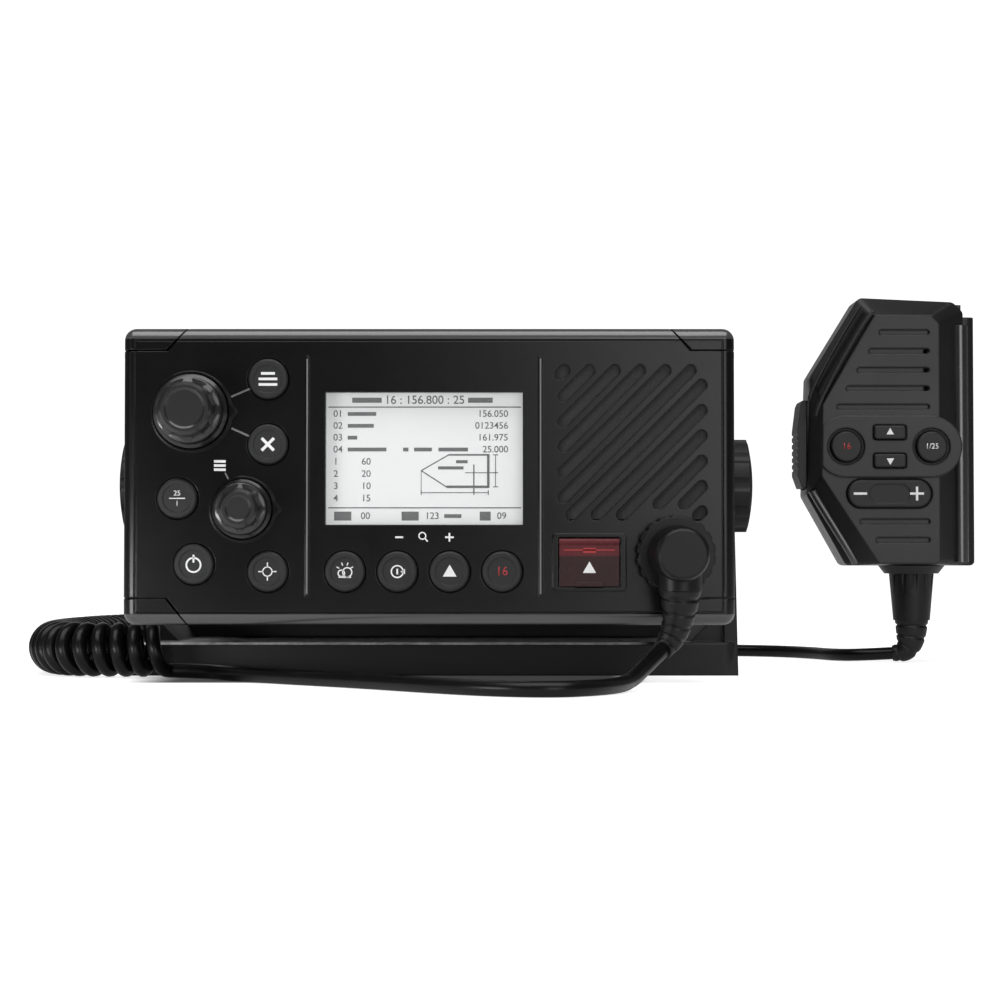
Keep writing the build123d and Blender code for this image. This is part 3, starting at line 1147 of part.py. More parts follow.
def fulcrum(radius, length):
    """Round ridge along Z at the rocker's back."""
    return Pos(HANDSET_X + ROCKER_AT[0], rocker_back(), HANDSET_Z + ROCKER_AT[1]) * Cylinder(radius, length)


def rocker_back():
    return HANDSET_FRONT_Y + HANDSET_FACE_WALL + 0.8 + 0.8


def make_handset_capsule():
    place = (GROOVE_RIGHT - 1.2, handset_grooves()[2][0])
    front = HANDSET_FRONT_Y + HANDSET_FACE_WALL
    capsule = handset_disc(place, 3.0, front, front + 2.7)
    return capsule - handset_disc(place, CAPSULE_HOLE_R, front - CUT, front + 0.8)


def make_handset_key(sketch, flange_sketch):
    front = HANDSET_FRONT_Y - ISLAND_RISE - HANDSET_KEY_RISE
    flange = HANDSET_FRONT_Y + HANDSET_FACE_WALL + GAP
    key = handset_slab(sketch, front, flange + 0.1)
    key = chamfer(key.faces().sort_by(Axis.Y)[0].edges(), 0.4)
    return key + handset_slab(flange_sketch, flange, flange + 0.8)


def make_volume_rocker():
    front = HANDSET_FRONT_Y - HANDSET_KEY_RISE
    back = rocker_back()
    rocker = handset_slab(Pos(*ROCKER_AT) * SlotOverall(ROCKER_WIDTH, ROCKER_HEIGHT), front, back)
    rocker = chamfer(rocker.faces().sort_by(Axis.Y)[0].edges(), 0.5)
    dish = Pos(*ROCKER_AT) * SlotOverall(ROCKER_WIDTH - 15.0, ROCKER_HEIGHT - 3.0)
    rocker -= handset_slab(dish, front - CUT, front + 0.3)
    lip = Pos(*ROCKER_AT) * SlotOverall(ROCKER_WIDTH + 2.0, ROCKER_HEIGHT + 2.0)
    rocker += handset_slab(lip, back - 0.8, back)
    groove = fulcrum(FULCRUM_R + RUNNING, FULCRUM_LONG + 2 * GAP)
    relief = Pos(*ROCKER_AT) * Rectangle(1.6 * FULCRUM_R + 4 * GAP, FULCRUM_LONG + 2 * GAP)
    return rocker - groove - handset_slab(relief, back - 0.4, back + CUT)


def make_ptt_lever():
    """Press-to-talk lever: a ribbed pad that turns about a pin at its foot."""
    inner = HANDSET_LEFT + LEVER_BACK - 2.0
    out = HANDSET_LEFT - LEVER_OUT
    points = [
        (inner, LEVER_HIGH), (HANDSET_LEFT - 1.2, LEVER_HIGH), (HANDSET_LEFT - 1.9, LEVER_HIGH - 1.6),
        (out, LEVER_HIGH - 10.3), (out, LEVER_LOW + 4.4), (HANDSET_LEFT - 1.4, LEVER_LOW), (inner, LEVER_LOW),
    ]
    half = LEVER_WIDTH / 2
    middle = lever_middle_y()
    lever = handset_slab(make_face(Polyline(*points, close=True)), middle - half, middle + half)
    lever += handset_disc(lever_pin_at(), LEVER_LUG_R, middle - half, middle + half)
    for number in range(6):
        height = LEVER_LOW + 6.6 + 2.4 * number
        rib = Pos(out, height) * Circle(0.45)
        lever -= handset_slab(rib, middle - half - CUT, middle + half + CUT)
    return lever - handset_disc(lever_pin_at(), LEVER_PIN_R + RUNNING, middle - half - CUT, middle + half + CUT)


def make_ptt_pin():
    reach = LEVER_WIDTH / 2 + 2.4
    return handset_disc(lever_pin_at(), LEVER_PIN_R, lever_middle_y() - reach, lever_middle_y() + reach)


def make_hanger_stud():
    stud = handset_disc(HANGER_AT, HANGER_NECK_R, HANDSET_REAR_Y, HANDSET_REAR_Y + 4.0)
    head = handset_disc(HANGER_AT, HANGER_HEAD_R, HANDSET_REAR_Y + 3.8, HANDSET_REAR_Y + 7.0)
    return stud + chamfer(head.faces().sort_by(Axis.Y)[-1].edges(), 0.8)


def handset_boot_axis():
    """Where the boot's upright axis is: over the end of the cord's bend."""
    end = Vector(REAR_ROUTE[-1])
    heading = (end - Vector(REAR_ROUTE[-2])).normalized()
    return end, heading


def make_handset_boot():
    """Strain relief under the handset: a flange, a tapered grip and a ribbed bend onto the surface."""
    end, heading = handset_boot_axis()
    middle_y = end.Y + heading.Y * (HANDSET_X - end.X) / heading.X
    top = Vector(HANDSET_X, middle_y, HANDSET_Z)
    turn_start = Vector(HANDSET_X, middle_y, 15.0)
    upper = Plane(origin=(top.X, top.Y, top.Z), x_dir=(1, 0, 0), z_dir=(0, 0, -1))
    flange = loft([upper * Circle(11.6), upper.offset(2.8) * Circle(9.4)], ruled=True)
    grip = loft([upper.offset(2.8) * Circle(7.8), upper.offset(top.Z - turn_start.Z) * Circle(6.4)], ruled=True)
    boot = flange + grip
    for number in range(12):
        angle = math.radians(30 * number)
        groove = Pos(top.X + 8.1 * math.cos(angle), top.Y + 8.1 * math.sin(angle), (top.Z + 12) / 2)
        boot -= groove * Cylinder(0.9, top.Z - 18.0)
    points = bezier_points(turn_start, Vector(0, 0, -9.5), end, heading * 5.5, 7)
    core = core_along(points, 5.0, CORD_R + 0.4)
    rings = [(points[number] + points[number + 1]) / 2 for number in range(6)]
    radii = [6.2 - 3.1 * number / 5.0 for number in range(6)]
    boot += core + boot_rings(rings, radii, 1.6)
    boot = boot & (Pos(HANDSET_X, middle_y, HANDSET_Z / 2) * Box(100, 100, HANDSET_Z))
    return boot - beyond(end, heading * -1)


# ================================================================ cord
def corner_radii(points):
    """Arc radius at each inner corner: 0.45 of the shorter run over the tangent of half the turn."""
    radii = []
    for before, here, after in zip(points, points[1:], points[2:]):
        run_in = Vector(here) - Vector(before)
        run_out = Vector(after) - Vector(here)
        turn = math.radians(run_in.get_angle(run_out))
        radii.append(0.45 * min(run_in.length, run_out.length) / math.tan(turn / 2))
    return radii


def tube(name, points, radius):
    """Round tube along straight runs joined by tangent arcs."""
    radii = corner_radii(points)
    path = FilletPolyline(*points, radius=radii)
    start = Plane(origin=points[0], z_dir=Vector(points[1]) - Vector(points[0]))
    solid = sweep(start * Circle(radius), path=path)
    share = solid.volume / (math.pi * radius ** 2 * path.length)
    print(f"{name}: length {path.length:.0f} mm, volume is {share:.4f} of section times length, "
          f"radii {[round(value) for value in radii]}")
    return solid


# ================================================================ write every piece
def make_all():
    nodes = {
        "front_bezel": make_front_bezel(),
        "corner_caps": make_corner_caps(),
        "display_window": make_display_window(),
        "display_panel": make_display_panel(),
        "display_frame": make_display_frame(),
        "keypad_mat": make_keypad_mat(),
        "key_board": make_key_board(),
        "encoders": make_encoders(),
        "channel_shaft": make_shaft(CHANNEL_AT, CHANNEL_RISE),
        "channel_knob": make_knob(CHANNEL_AT, CHANNEL_COLLAR_R, CHANNEL_RISE, CHANNEL_FACE_R),
        "volume_shaft": make_shaft(VOLUME_AT, VOLUME_RISE),
        "volume_knob": make_knob(VOLUME_AT, VOLUME_COLLAR_R, VOLUME_RISE, VOLUME_FACE_R),
        "speaker_basket": make_speaker_basket(),
        "speaker_cone": make_speaker_cone(),
        "mic_socket": make_mic_socket(),
        "distress_key": make_distress_key(),
        "distress_cover": make_distress_cover(),
        "distress_pin": make_distress_pin(),
        "front_gasket": make_front_gasket(),
        "rear_housing": make_rear_housing(),
        "radio_screws": make_radio_screws(),
        "main_board": make_main_board(),
        "rf_shield": make_rf_shield(),
        "antenna_socket": make_antenna_socket(),
        "data_socket": make_data_socket(),
        "power_gland": make_power_gland(),
        "gimbal_inserts": make_gimbal_inserts(),
        "gimbal_washers": make_gimbal_washers(),
        "gimbal_knob_right": make_gimbal_knob(),
        "gimbal_knob_left": mirrored_x(make_gimbal_knob()),
        "gimbal_bracket": make_gimbal_bracket(),
        "plug_ring": make_plug_ring(),
        "plug_body": make_plug_body(),
        "plug_boot": make_plug_boot(),
        "handset_front": make_handset_front(),
        "handset_rear": make_handset_rear(),
        "handset_board": make_handset_board(),
        "handset_capsule": make_handset_capsule(),
        "handset_screws": make_handset_screws(),
        "volume_rocker": make_volume_rocker(),
        "ptt_lever": make_ptt_lever(),
        "ptt_pin": make_ptt_pin(),
        "hanger_stud": make_hanger_stud(),
        "handset_boot": make_handset_boot(),
        "cord_lead": tube("cord_lead", LEAD_ROUTE, CORD_R),
        "cord_coil": tube("cord_coil", COIL_ROUTE, COIL_R),
        "cord_rear_run": tube("cord_rear_run", REAR_ROUTE, CORD_R),
    }
    for name, place in KEY_PLACES.items():
        nodes[name] = make_key(place)
    flanges = handset_key_sketches(0.9)
    for name, sketch in handset_key_sketches(0).items():
        nodes[name] = make_handset_key(sketch, flanges[name])
    return nodes


def main():
    os.makedirs("parts", exist_ok=True)
    for name, shape in make_all().items():
        solids = shape if isinstance(shape, list) else [shape]
        group = [solid for item in solids for solid in item.solids()]
        export_step(group[0] if len(group) == 1 else Compound(children=group), f"parts/{name}.step")


main()
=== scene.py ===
import json
import math

import bmesh
import bpy
from bpy.props import FloatProperty, FloatVectorProperty, IntProperty, PointerProperty
from bpy.types import Operator, Panel, PropertyGroup
from mathutils import Matrix, Vector


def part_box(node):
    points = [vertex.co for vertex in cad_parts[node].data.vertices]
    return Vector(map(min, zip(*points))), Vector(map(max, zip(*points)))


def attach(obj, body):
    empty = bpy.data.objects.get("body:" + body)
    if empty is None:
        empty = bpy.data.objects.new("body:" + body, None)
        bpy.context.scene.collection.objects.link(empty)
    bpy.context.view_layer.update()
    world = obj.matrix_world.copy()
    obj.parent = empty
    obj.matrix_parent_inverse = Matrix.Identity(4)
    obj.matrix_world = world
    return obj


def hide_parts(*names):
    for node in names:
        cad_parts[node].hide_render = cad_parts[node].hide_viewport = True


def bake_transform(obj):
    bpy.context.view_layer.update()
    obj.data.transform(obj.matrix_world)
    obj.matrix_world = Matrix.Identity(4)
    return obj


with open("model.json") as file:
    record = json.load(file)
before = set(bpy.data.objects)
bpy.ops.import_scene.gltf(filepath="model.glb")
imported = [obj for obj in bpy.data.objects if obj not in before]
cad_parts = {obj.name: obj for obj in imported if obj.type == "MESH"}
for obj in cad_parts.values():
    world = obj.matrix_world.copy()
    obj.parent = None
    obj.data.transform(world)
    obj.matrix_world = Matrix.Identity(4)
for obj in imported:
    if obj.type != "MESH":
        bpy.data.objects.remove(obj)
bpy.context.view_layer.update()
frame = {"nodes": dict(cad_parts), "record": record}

bl_info = {
    "name": "Marine radio dressing",
    "version": (1, 0, 0),
    "blender": (4, 5, 0),
    "location": "3D View > Sidebar > Radio",
    "description": "Finishes, cords, controls and lettering for a fixed marine radio and its fist handset",
    "category": "Object",
}

MM = 0.001
UPRIGHT = (math.radians(90), 0, 0)   # turns a flat shape to the front
FACE_Y = -0.0800         # front of the bezel
PANEL_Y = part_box("display_panel")[0][1]
INK_THICK = 0.05 * MM
INK_LIFT = 0.02 * MM     # from a face to the middle of the marks on it
FIGURE_SCALE = 1.38      # font size for a figure of height 1
FIGURE_BOLD = 0.00002
SMOOTH_ANGLE = math.radians(32)
MERGED = 2e-6            # vertices nearer than this become one
WASHER_ROOM = 0.03 * MM
COIL_STEPS = 14          # points in one turn of the coil
COIL_EASE = 0.030        # share of the coil's line in which a drawn-out end lies
BOOT_STEPS = 60

# Route of the plain lead from the plug's boot to the coil, of the coil's axis, and of the plain
# run behind the radio to the handset's boot.
LEAD_ROUTE = (
    (0.0660, -0.0980, 0.0106), (0.0605, -0.1055, 0.0060), (0.0565, -0.1155, 0.0030),
    (0.0525, -0.1275, 0.0023), (0.0455, -0.1400, 0.0023), (0.0350, -0.1480, 0.0023),
    (0.0200, -0.1440, 0.0023), (0.0040, -0.1300, 0.0023), (-0.0200, -0.1025, 0.0023),
    (-0.0440, -0.0800, 0.0023), (-0.0600, -0.0620, 0.0023), (-0.0680, -0.0470, 0.0023),
    (-0.0790, -0.0430, 0.0023),
)
COIL_ROUTE = (
    (-0.0790, -0.0430, 0.0086), (-0.0950, -0.0425, 0.0086), (-0.1100, -0.0380, 0.0086),
    (-0.1190, -0.0240, 0.0086), (-0.1220, -0.0040, 0.0086), (-0.1220, 0.0280, 0.0086),
    (-0.1170, 0.0640, 0.0086), (-0.1040, 0.0920, 0.0086), (-0.0800, 0.1100, 0.0086),
    (-0.0500, 0.1180, 0.0086), (-0.0220, 0.1190, 0.0086),
)
REAR_ROUTE = (
    (-0.0220, 0.1190, 0.0023), (0.0120, 0.1210, 0.0023), (0.0460, 0.1265, 0.0023),
    (0.0800, 0.1260, 0.0023), (0.1110, 0.1190, 0.0023), (0.1270, 0.1080, 0.0023),
    (0.1360, 0.0920, 0.0023), (0.1400, 0.0775, 0.0023), (0.1480, 0.0685, 0.0026),
    (0.1590, 0.0665, 0.0033),
)


# ---------------------------------------------------------------- settings that a user would change
COLOUR = {"subtype": "COLOR", "size": 4, "min": 0, "max": 1}


class RadioViewSettings(PropertyGroup):
    lens: FloatProperty(name="Lens", description="Focal length on a 36 mm sensor", default=81.1,
                        min=20, max=300)
    lift: FloatProperty(name="Lift", description="Upward tilt of the camera",
                        default=math.radians(1.652), subtype="ANGLE")
    place: FloatVectorProperty(name="Place", description="Where the camera stands", size=3,
                               default=(0.0205, -0.7300, 0.0344), subtype="TRANSLATION",
                               unit="LENGTH")
    light: FloatProperty(name="Light", description="Level of all the lamps", default=1.0,
                         min=0.0, max=5.0)


class RadioCordSettings(PropertyGroup):
    cord_diameter: FloatProperty(name="Cord diameter", description="Outside of the plain cord",
                                 default=0.0044, unit="LENGTH", min=0.002, max=0.01)
    coil_diameter: FloatProperty(name="Coil diameter", description="Outside of the curly part",
                                 default=0.0170, unit="LENGTH", min=0.01, max=0.03)
    coil_turns: IntProperty(name="Coil turns", description="Turns of the curly part", default=48,
                            min=10, max=90)


class RadioColourSettings(PropertyGroup):
    case: FloatVectorProperty(name="Case", description="Moulded case plastic",
                              default=(0.0024, 0.0024, 0.0025, 1), **COLOUR)
    soft: FloatVectorProperty(name="Keys", description="Rubber keys and pads",
                              default=(0.0095, 0.0095, 0.0100, 1), **COLOUR)
    knob: FloatVectorProperty(name="Knobs", description="Knobs of the front",
                              default=(0.0030, 0.0030, 0.0031, 1), **COLOUR)
    cord: FloatVectorProperty(name="Cord", description="Sheath of the cord and the boots",
                              default=(0.0030, 0.0030, 0.0031, 1), **COLOUR)
    ink: FloatVectorProperty(name="Ink", description="Printed marks",
                             default=(0.78, 0.78, 0.78, 1), **COLOUR)
    alert: FloatVectorProperty(name="Alert", description="Red marks and the distress key",
                               default=(0.36, 0.020, 0.022, 1), **COLOUR)
    display: FloatVectorProperty(name="Display", description="Lit display glass",
                                 default=(0.60, 0.61, 0.61, 1), **COLOUR)


# ---------------------------------------------------------------- finishes
class Link:
    """A socket that sums are written on; each sum adds its Math node."""

    def __init__(self, finish, socket):
        self.finish = finish
        self.socket = socket

    def sum(self, operation, first, second=0.0):
        return self.finish.add("ShaderNodeMath", {"operation": operation}, {0: first, 1: second})

    def __add__(self, other):
        return self.sum("ADD", self, other)

    __radd__ = __add__

    def __sub__(self, other):
        return self.sum("SUBTRACT", self, other)

    def __rsub__(self, other):
        return self.sum("SUBTRACT", other, self)

    def __mul__(self, other):
        return self.sum("MULTIPLY", self, other)

    __rmul__ = __mul__


class Finish:
    """A material made of nodes round one Principled shader."""

    def __init__(self, name, colour, roughness, **constants):
        self.material = bpy.data.materials.new(name)
        self.material.use_nodes = True
        self.tree = self.material.node_tree
        self.tree.nodes.clear()
        self.shader = self.tree.nodes.new("ShaderNodeBsdfPrincipled")
        output = self.tree.nodes.new("ShaderNodeOutputMaterial")
        self.tree.links.new(self.shader.outputs[0], output.inputs["Surface"])
        self.place = None
        self.set("Base Color", colour)
        self.set("Roughness", roughness)
        for socket, value in constants.items():
            self.set(socket.replace("_", " "), value)

    def feed(self, socket, value):
        """Gives a socket its link or its value."""
        if isinstance(value, Link):
            self.tree.links.new(value.socket, socket)
        else:
            socket.default_value = value

    def add(self, kind, settings, sockets, output=0):
        """Adds a node with its settings, feeds its sockets and gives one output."""
        node = self.tree.nodes.new(kind)
        for name, value in settings.items():
            setattr(node, name, value)
        for name, value in sockets.items():
            self.feed(node.inputs[name], value)
        return Link(self, node.outputs[output])

    def set(self, socket, value):
        self.feed(self.shader.inputs[socket], value)

    def here(self):
        """Object coordinates, in metres."""
        if self.place is None:
            self.place = self.add("ShaderNodeTexCoord", {}, {}, "Object")
        return self.place

    def axes(self):
        """The three object coordinates, one by one."""
        split = self.add("ShaderNodeSeparateXYZ", {}, {"Vector": self.here()}).socket.node
        return [Link(self, output) for output in split.outputs]

    def noise(self, grain, detail=3.0, rough=0.55):
        """Noise from 0 to 1 whose grain is a length in metres."""
        sockets = {"Vector": self.here(), "Scale": 1 / grain, "Detail": detail, "Roughness": rough}
        return self.add("ShaderNodeTexNoise", {}, sockets, "Fac")

    def rise(self, value, low, high, low_to=0.0, high_to=1.0):
        """Smooth step of a value between two limits, upward."""
        sockets = {"Value": value, "From Min": low, "From Max": high, "To Min": low_to, "To Max": high_to}
        return self.add("ShaderNodeMapRange", {"interpolation_type": "SMOOTHSTEP"}, sockets)

    def fall(self, value, low, high):
        """Smooth step of a value between two limits, downward."""
        return self.rise(value, low, high, 1.0, 0.0)

    def between(self, factor, first, second):
        """Colour between two colours, which are sockets 6 and 7 of the node."""
        sockets = {"Factor": factor, 6: first, 7: second}
        return self.add("ShaderNodeMix", {"data_type": "RGBA"}, sockets, 2)

    def bevel(self, rounding):
        """The normal, with edges rounded by that radius in metres."""
        return self.add("ShaderNodeBevel", {"samples": 6}, {"Radius": rounding})

    def relief(self, height, depth, rounding=0.0):
        """Bump of that depth in metres, over edges that the shader rounds."""
        sockets = {"Height": height, "Strength": 1.0, "Distance": depth}
        if rounding:
            sockets["Normal"] = self.bevel(rounding)
        self.set("Normal", self.add("ShaderNodeBump", {}, sockets))


def shade(colour, factor):
    return (colour[0] * factor, colour[1] * factor, colour[2] * factor, 1)


def plain(level):
    return (level, level, level, 1)


def moulded(name, colour, roughness, grain=0.35 * MM, depth=0.008 * MM, rounding=0.5 * MM, gloss=0.3,
            **constants):
    """Moulded plastic: eroded grain and faint flow marks, with softened edges."""
    finish = Finish(name, colour, roughness, Specular_IOR_Level=gloss, **constants)
    flow = finish.noise(18 * MM, 2.0)
    fine = finish.noise(grain, 2.0, 0.6)
    finish.set("Base Color", finish.between(flow, shade(colour, 0.86), shade(colour, 1.16)))
    finish.set("Roughness", (roughness - 0.05) + flow * 0.08 + fine * 0.05)
    finish.relief(fine, depth, rounding)
    return finish


def rim_coat_and_painted_sheen(finish, colour):
    """The upper and lower rim of the bezel are smoother than the face between them, with a coat, and their
    colour is painted lighter there: a painted reflection of the lamps above and the floor below.
    """
    low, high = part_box("front_bezel")
    rim = 3.3 * MM
    inner = (high[2] - low[2]) / 2 - rim
    depth, level = finish.axes()[1:]
    level = level - (low[2] + high[2]) / 2
    front = finish.fall(depth, low[1] + 3.0 * MM, low[1] + 3.9 * MM)
    sheen_band = front * finish.rise(level.sum("ABSOLUTE", level), inner, inner + 0.3 * MM)
    # painted reflection: the rim's base colour is made lighter in the band
    finish.set("Base Color", finish.between(sheen_band, colour, plain(0.046)))
    finish.set("Coat Weight", sheen_band)
    finish.set("Coat Roughness", 0.2)


def painted_highlight_on_foot(finish, colour):
    """Painted highlight: the front part of the foot's top and its front edge are painted lighter, with a
    speckle, left of the plug.
    """
    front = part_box("gimbal_bracket")[0][1]
    across, deep, level = finish.axes()
    left_of_plug = finish.fall(across, 60 * MM, 68 * MM)
    near = finish.fall(deep, front + 40 * MM, front + 50 * MM)
    top = finish.rise(level, 10.0 * MM, 10.3 * MM) * finish.fall(level, 10.5 * MM, 10.9 * MM)
    highlight_speckle = finish.rise(finish.noise(4 * MM, 4.0), 0.35, 0.62, 0.4)
    # painted highlight on the front part of the foot's top, speckled
    top_highlight = finish.between(near * top * highlight_speckle * left_of_plug, colour, plain(0.20))
    # painted highlight along the foot's top front edge, lighter still
    edge = finish.fall(deep, front + 0.4 * MM, front + 1.2 * MM) * finish.rise(level, 9.5 * MM, 9.8 * MM)
    line = edge * left_of_plug * (0.4 + 0.6 * highlight_speckle)
    finish.set("Base Color", finish.between(line, top_highlight, plain(0.60)))


def make_finishes(colours):
    case, cord, lit = tuple(colours.case), tuple(colours.cord), tuple(colours.display)
    white, alert = tuple(colours.ink), tuple(colours.alert)
    made = {
        "case": moulded("case_moulding", case, 0.21, gloss=0.26),
        "cap": moulded("cap_moulding", case, 0.21, rounding=0.4 * MM, gloss=0.26),
        "bracket": moulded("bracket_moulding", shade(case, 1.8), 0.48, rounding=0.8 * MM),
        "handset": moulded("handset_moulding", shade(case, 2.2), 0.36, rounding=0.9 * MM, gloss=0.35),
        "bead": moulded("bead_gloss", shade(case, 2.2), 0.30, rounding=0.2 * MM, gloss=0.6,
                        Coat_Weight=1.0, Coat_Roughness=0.2),
        "knob": moulded("knob_gloss", tuple(colours.knob), 0.42, depth=0.003 * MM,
                        rounding=0.35 * MM, gloss=0.35, Coat_Weight=0.6, Coat_Roughness=0.14),
        "key": moulded("key_rubber", tuple(colours.soft), 0.50, grain=0.2 * MM, gloss=0.35),
        "plug": moulded("plug_moulding", shade(case, 1.6), 0.36, rounding=0.4 * MM, gloss=0.24),
        "cast": moulded("cast_paint", (0.014, 0.0142, 0.015, 1), 0.55, grain=0.8 * MM,
                        depth=0.03 * MM, rounding=0.7 * MM),
        "boot": moulded("boot_rubber", shade(cord, 1.2), 0.42, grain=0.3 * MM, rounding=0.3 * MM),
    }
    for name in ("case", "cap"):
        rim_coat_and_painted_sheen(made[name], case)
    painted_highlight_on_foot(made["bracket"], shade(case, 1.8))

    sheath = made["sheath"] = Finish("cord_sheath", cord, 0.30, Specular_IOR_Level=0.19)
    drift = sheath.noise(9 * MM, 3.0)
    sheath.set("Base Color", sheath.between(drift, shade(cord, 0.8), shade(cord, 1.5)))
    sheath.set("Roughness", 0.24 + drift * 0.12)
    sheath.relief(sheath.noise(0.5 * MM, 2.0), 0.008 * MM)

    metals = (("steel", (0.56, 0.56, 0.55, 1), 0.30), ("nickel", (0.50, 0.49, 0.46, 1), 0.24),
              ("brass", (0.62, 0.44, 0.18, 1), 0.32))
    for name, colour, roughness in metals:
        metal = made[name] = Finish(name + "_finish", colour, roughness, Metallic=1.0)
        streak = metal.noise(2.5 * MM, 4.0)
        metal.set("Base Color", metal.between(streak, shade(colour, 0.85), shade(colour, 1.1)))
        metal.set("Roughness", (roughness - 0.06) + streak * 0.16)
        metal.set("Normal", metal.bevel(0.2 * MM))

    board = made["board"] = Finish("board_lacquer", (0.012, 0.085, 0.045, 1), 0.35)
    tracks = board.rise(board.noise(1.6 * MM, 1.0), 0.48, 0.54)
    board.set("Base Color", board.between(tracks, (0.010, 0.075, 0.040, 1), (0.018, 0.125, 0.070, 1)))
    board.set("Roughness", 0.30 + tracks * 0.1)

    window = made["window"] = Finish("window_clear", (0.9, 0.92, 0.92, 1), 0.06, Alpha=0.07, IOR=1.49)
    window.set("Roughness", 0.04 + window.noise(20 * MM, 2.0) * 0.06)

    display = made["display"] = Finish("display_lit", lit, 0.42)
    cell = display.noise(0.25 * MM, 1.0)
    glow = display.noise(40 * MM, 1.0)
    light = display.between(glow, shade(lit, 0.94), shade(lit, 1.05))
    grain = display.between(cell * 0.15, light, shade(lit, 0.85))
    display.set("Base Color", grain)
    display.set("Emission Color", grain)
    display.set("Emission Strength", 0.36)

    cells = made["cells"] = Finish("display_cells", (0.025, 0.026, 0.028, 1), 0.5)
    cells.set("Roughness", 0.45 + cells.noise(0.4 * MM) * 0.1)

    ink = made["ink"] = Finish("ink_white", white, 0.55)
    ink.set("Base Color", ink.between(ink.noise(0.6 * MM, 2.0) * 0.3, white, shade(white, 0.75)))
    # grey for the printed knob lines, and for the painted highlights on the dividers
    grey = made["grey"] = Finish("grey_ink_and_ridge_highlight", plain(0.13), 0.6)
    grey.set("Roughness", 0.5 + grey.noise(0.5 * MM) * 0.15)
    red = made["red"] = Finish("ink_red", alert, 0.5)
    red.set("Base Color", red.between(red.noise(0.6 * MM, 2.0) * 0.5, alert, shade(alert, 0.6)))

    flap = made["flap"] = Finish("flap_smoked_red", (0.030, 0.008, 0.009, 1), 0.22, Specular_IOR_Level=0.16)
    cloud = flap.noise(5 * MM, 2.0)
    strip = flap.rise(flap.axes()[2], 36.6 * MM, 37.4 * MM)
    smoke = flap.between(cloud, (0.026, 0.013, 0.013, 1), (0.036, 0.014, 0.014, 1))
    flap.set("Base Color", flap.between(strip, smoke, (0.095, 0.016, 0.020, 1)))
    flap.set("Roughness", 0.20 + cloud * 0.14)
    flap.set("Normal", flap.bevel(0.3 * MM))

    cloth = made["cloth"] = Finish("grille_cloth", plain(0.030), 0.8, Specular_IOR_Level=0.4)
    weft, warp = (cloth.add("ShaderNodeTexWave", {"bands_direction": axis},
                            {"Vector": cloth.here(), "Scale": 700.0}) for axis in "XZ")
    cloth.set("Base Color", cloth.between(weft * warp, plain(0.022), plain(0.034)))
    cloth.relief(weft + warp, 0.03 * MM)

    paper = made["paper"] = Finish("speaker_paper", plain(0.008), 0.9)
    paper.relief(paper.noise(0.4 * MM), 0.05 * MM)
    return {name: finish.material for name, finish in made.items()}


FINISHES = {}

ROUND_KEYS = ("key_menu", "key_cancel", "key_level", "key_power", "key_mark", "key_weather", "key_scan",
              "key_watch", "key_sixteen")
HANDSET_KEYS = ("handset_key_call", "handset_key_power", "handset_key_up", "handset_key_down")
FINISH_NODES = {
    "case": ("front_bezel", "display_frame", "encoders", "distress_pin", "mic_socket"),
    "cap": ("corner_caps",),
    "window": ("display_window",),
    "display": ("display_panel",),
    "key": ("keypad_mat", "ptt_lever", "volume_rocker") + ROUND_KEYS + HANDSET_KEYS,
    "knob": ("channel_knob", "volume_knob"),
    "flap": ("distress_cover",),
    "red": ("distress_key",),
    "plug": ("plug_body", "plug_ring"),
    "boot": ("plug_boot", "handset_boot", "front_gasket", "power_gland", "gimbal_washers"),
    "sheath": ("cord_lead", "cord_coil", "cord_rear_run"),
    "bracket": ("gimbal_bracket", "gimbal_knob_left", "gimbal_knob_right"),
    "handset": ("handset_front", "handset_rear", "hanger_stud"),
    "cast": ("rear_housing",),
    "board": ("key_board", "main_board", "handset_board"),
    "steel": ("rf_shield", "radio_screws", "ptt_pin", "handset_screws"),
    "nickel": ("antenna_socket", "data_socket", "channel_shaft", "volume_shaft"),
    "brass": ("gimbal_inserts",),
    "paper": ("speaker_basket", "speaker_cone", "handset_capsule"),
}
NODE_FINISH = {node: finish for finish, nodes in FINISH_NODES.items() for node in nodes}
# CAD nodes whose surfaces show: each gets a merged, smoothly shaded copy in its place
SMOOTHED = ("front_bezel", "corner_caps", "rear_housing", "gimbal_bracket", "gimbal_knob_left",
            "gimbal_knob_right", "plug_body", "plug_ring", "plug_boot", "handset_front", "handset_rear",
            "handset_boot", "ptt_lever", "volume_rocker", "antenna_socket", "data_socket", "power_gland",
            "hanger_stud", "distress_cover", "gimbal_washers", "channel_knob", "volume_knob"
            ) + ROUND_KEYS + HANDSET_KEYS


# ---------------------------------------------------------------- helpers for modelling
def deselect():
    active = bpy.context.view_layer.objects.active
    if active is not None and active.mode != "OBJECT":
        bpy.ops.object.mode_set(mode="OBJECT")
    bpy.ops.object.select_all(action="DESELECT")


def choose(obj):
    deselect()
    obj.select_set(True)
    bpy.context.view_layer.objects.active = obj


def edit_all():
    """Edit mode, with all of the active mesh selected."""
    bpy.ops.object.mode_set(mode="EDIT")
    bpy.ops.mesh.select_all(action="SELECT")


def face_outward():
    edit_all()
    bpy.ops.mesh.normals_make_consistent(inside=False)
    bpy.ops.object.mode_set(mode="OBJECT")


def applied(obj, name):
    """Names a piece and puts its place into its mesh."""
    choose(obj)
    bpy.ops.object.transform_apply(location=True, rotation=True, scale=True)
    obj.name = name
    obj.data.name = name
    return obj


def paint(obj, finish):
    obj.data.materials.clear()
    obj.data.materials.append(FINISHES[finish])


def centre(node):
    low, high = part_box(node)
    return Vector([(a + b) / 2 for a, b in zip(low, high)])


def body_of(node):
    for body, members in frame["record"]["behaviour"]["bodies"].items():
        if node in members:
            return body
    raise ValueError(node)


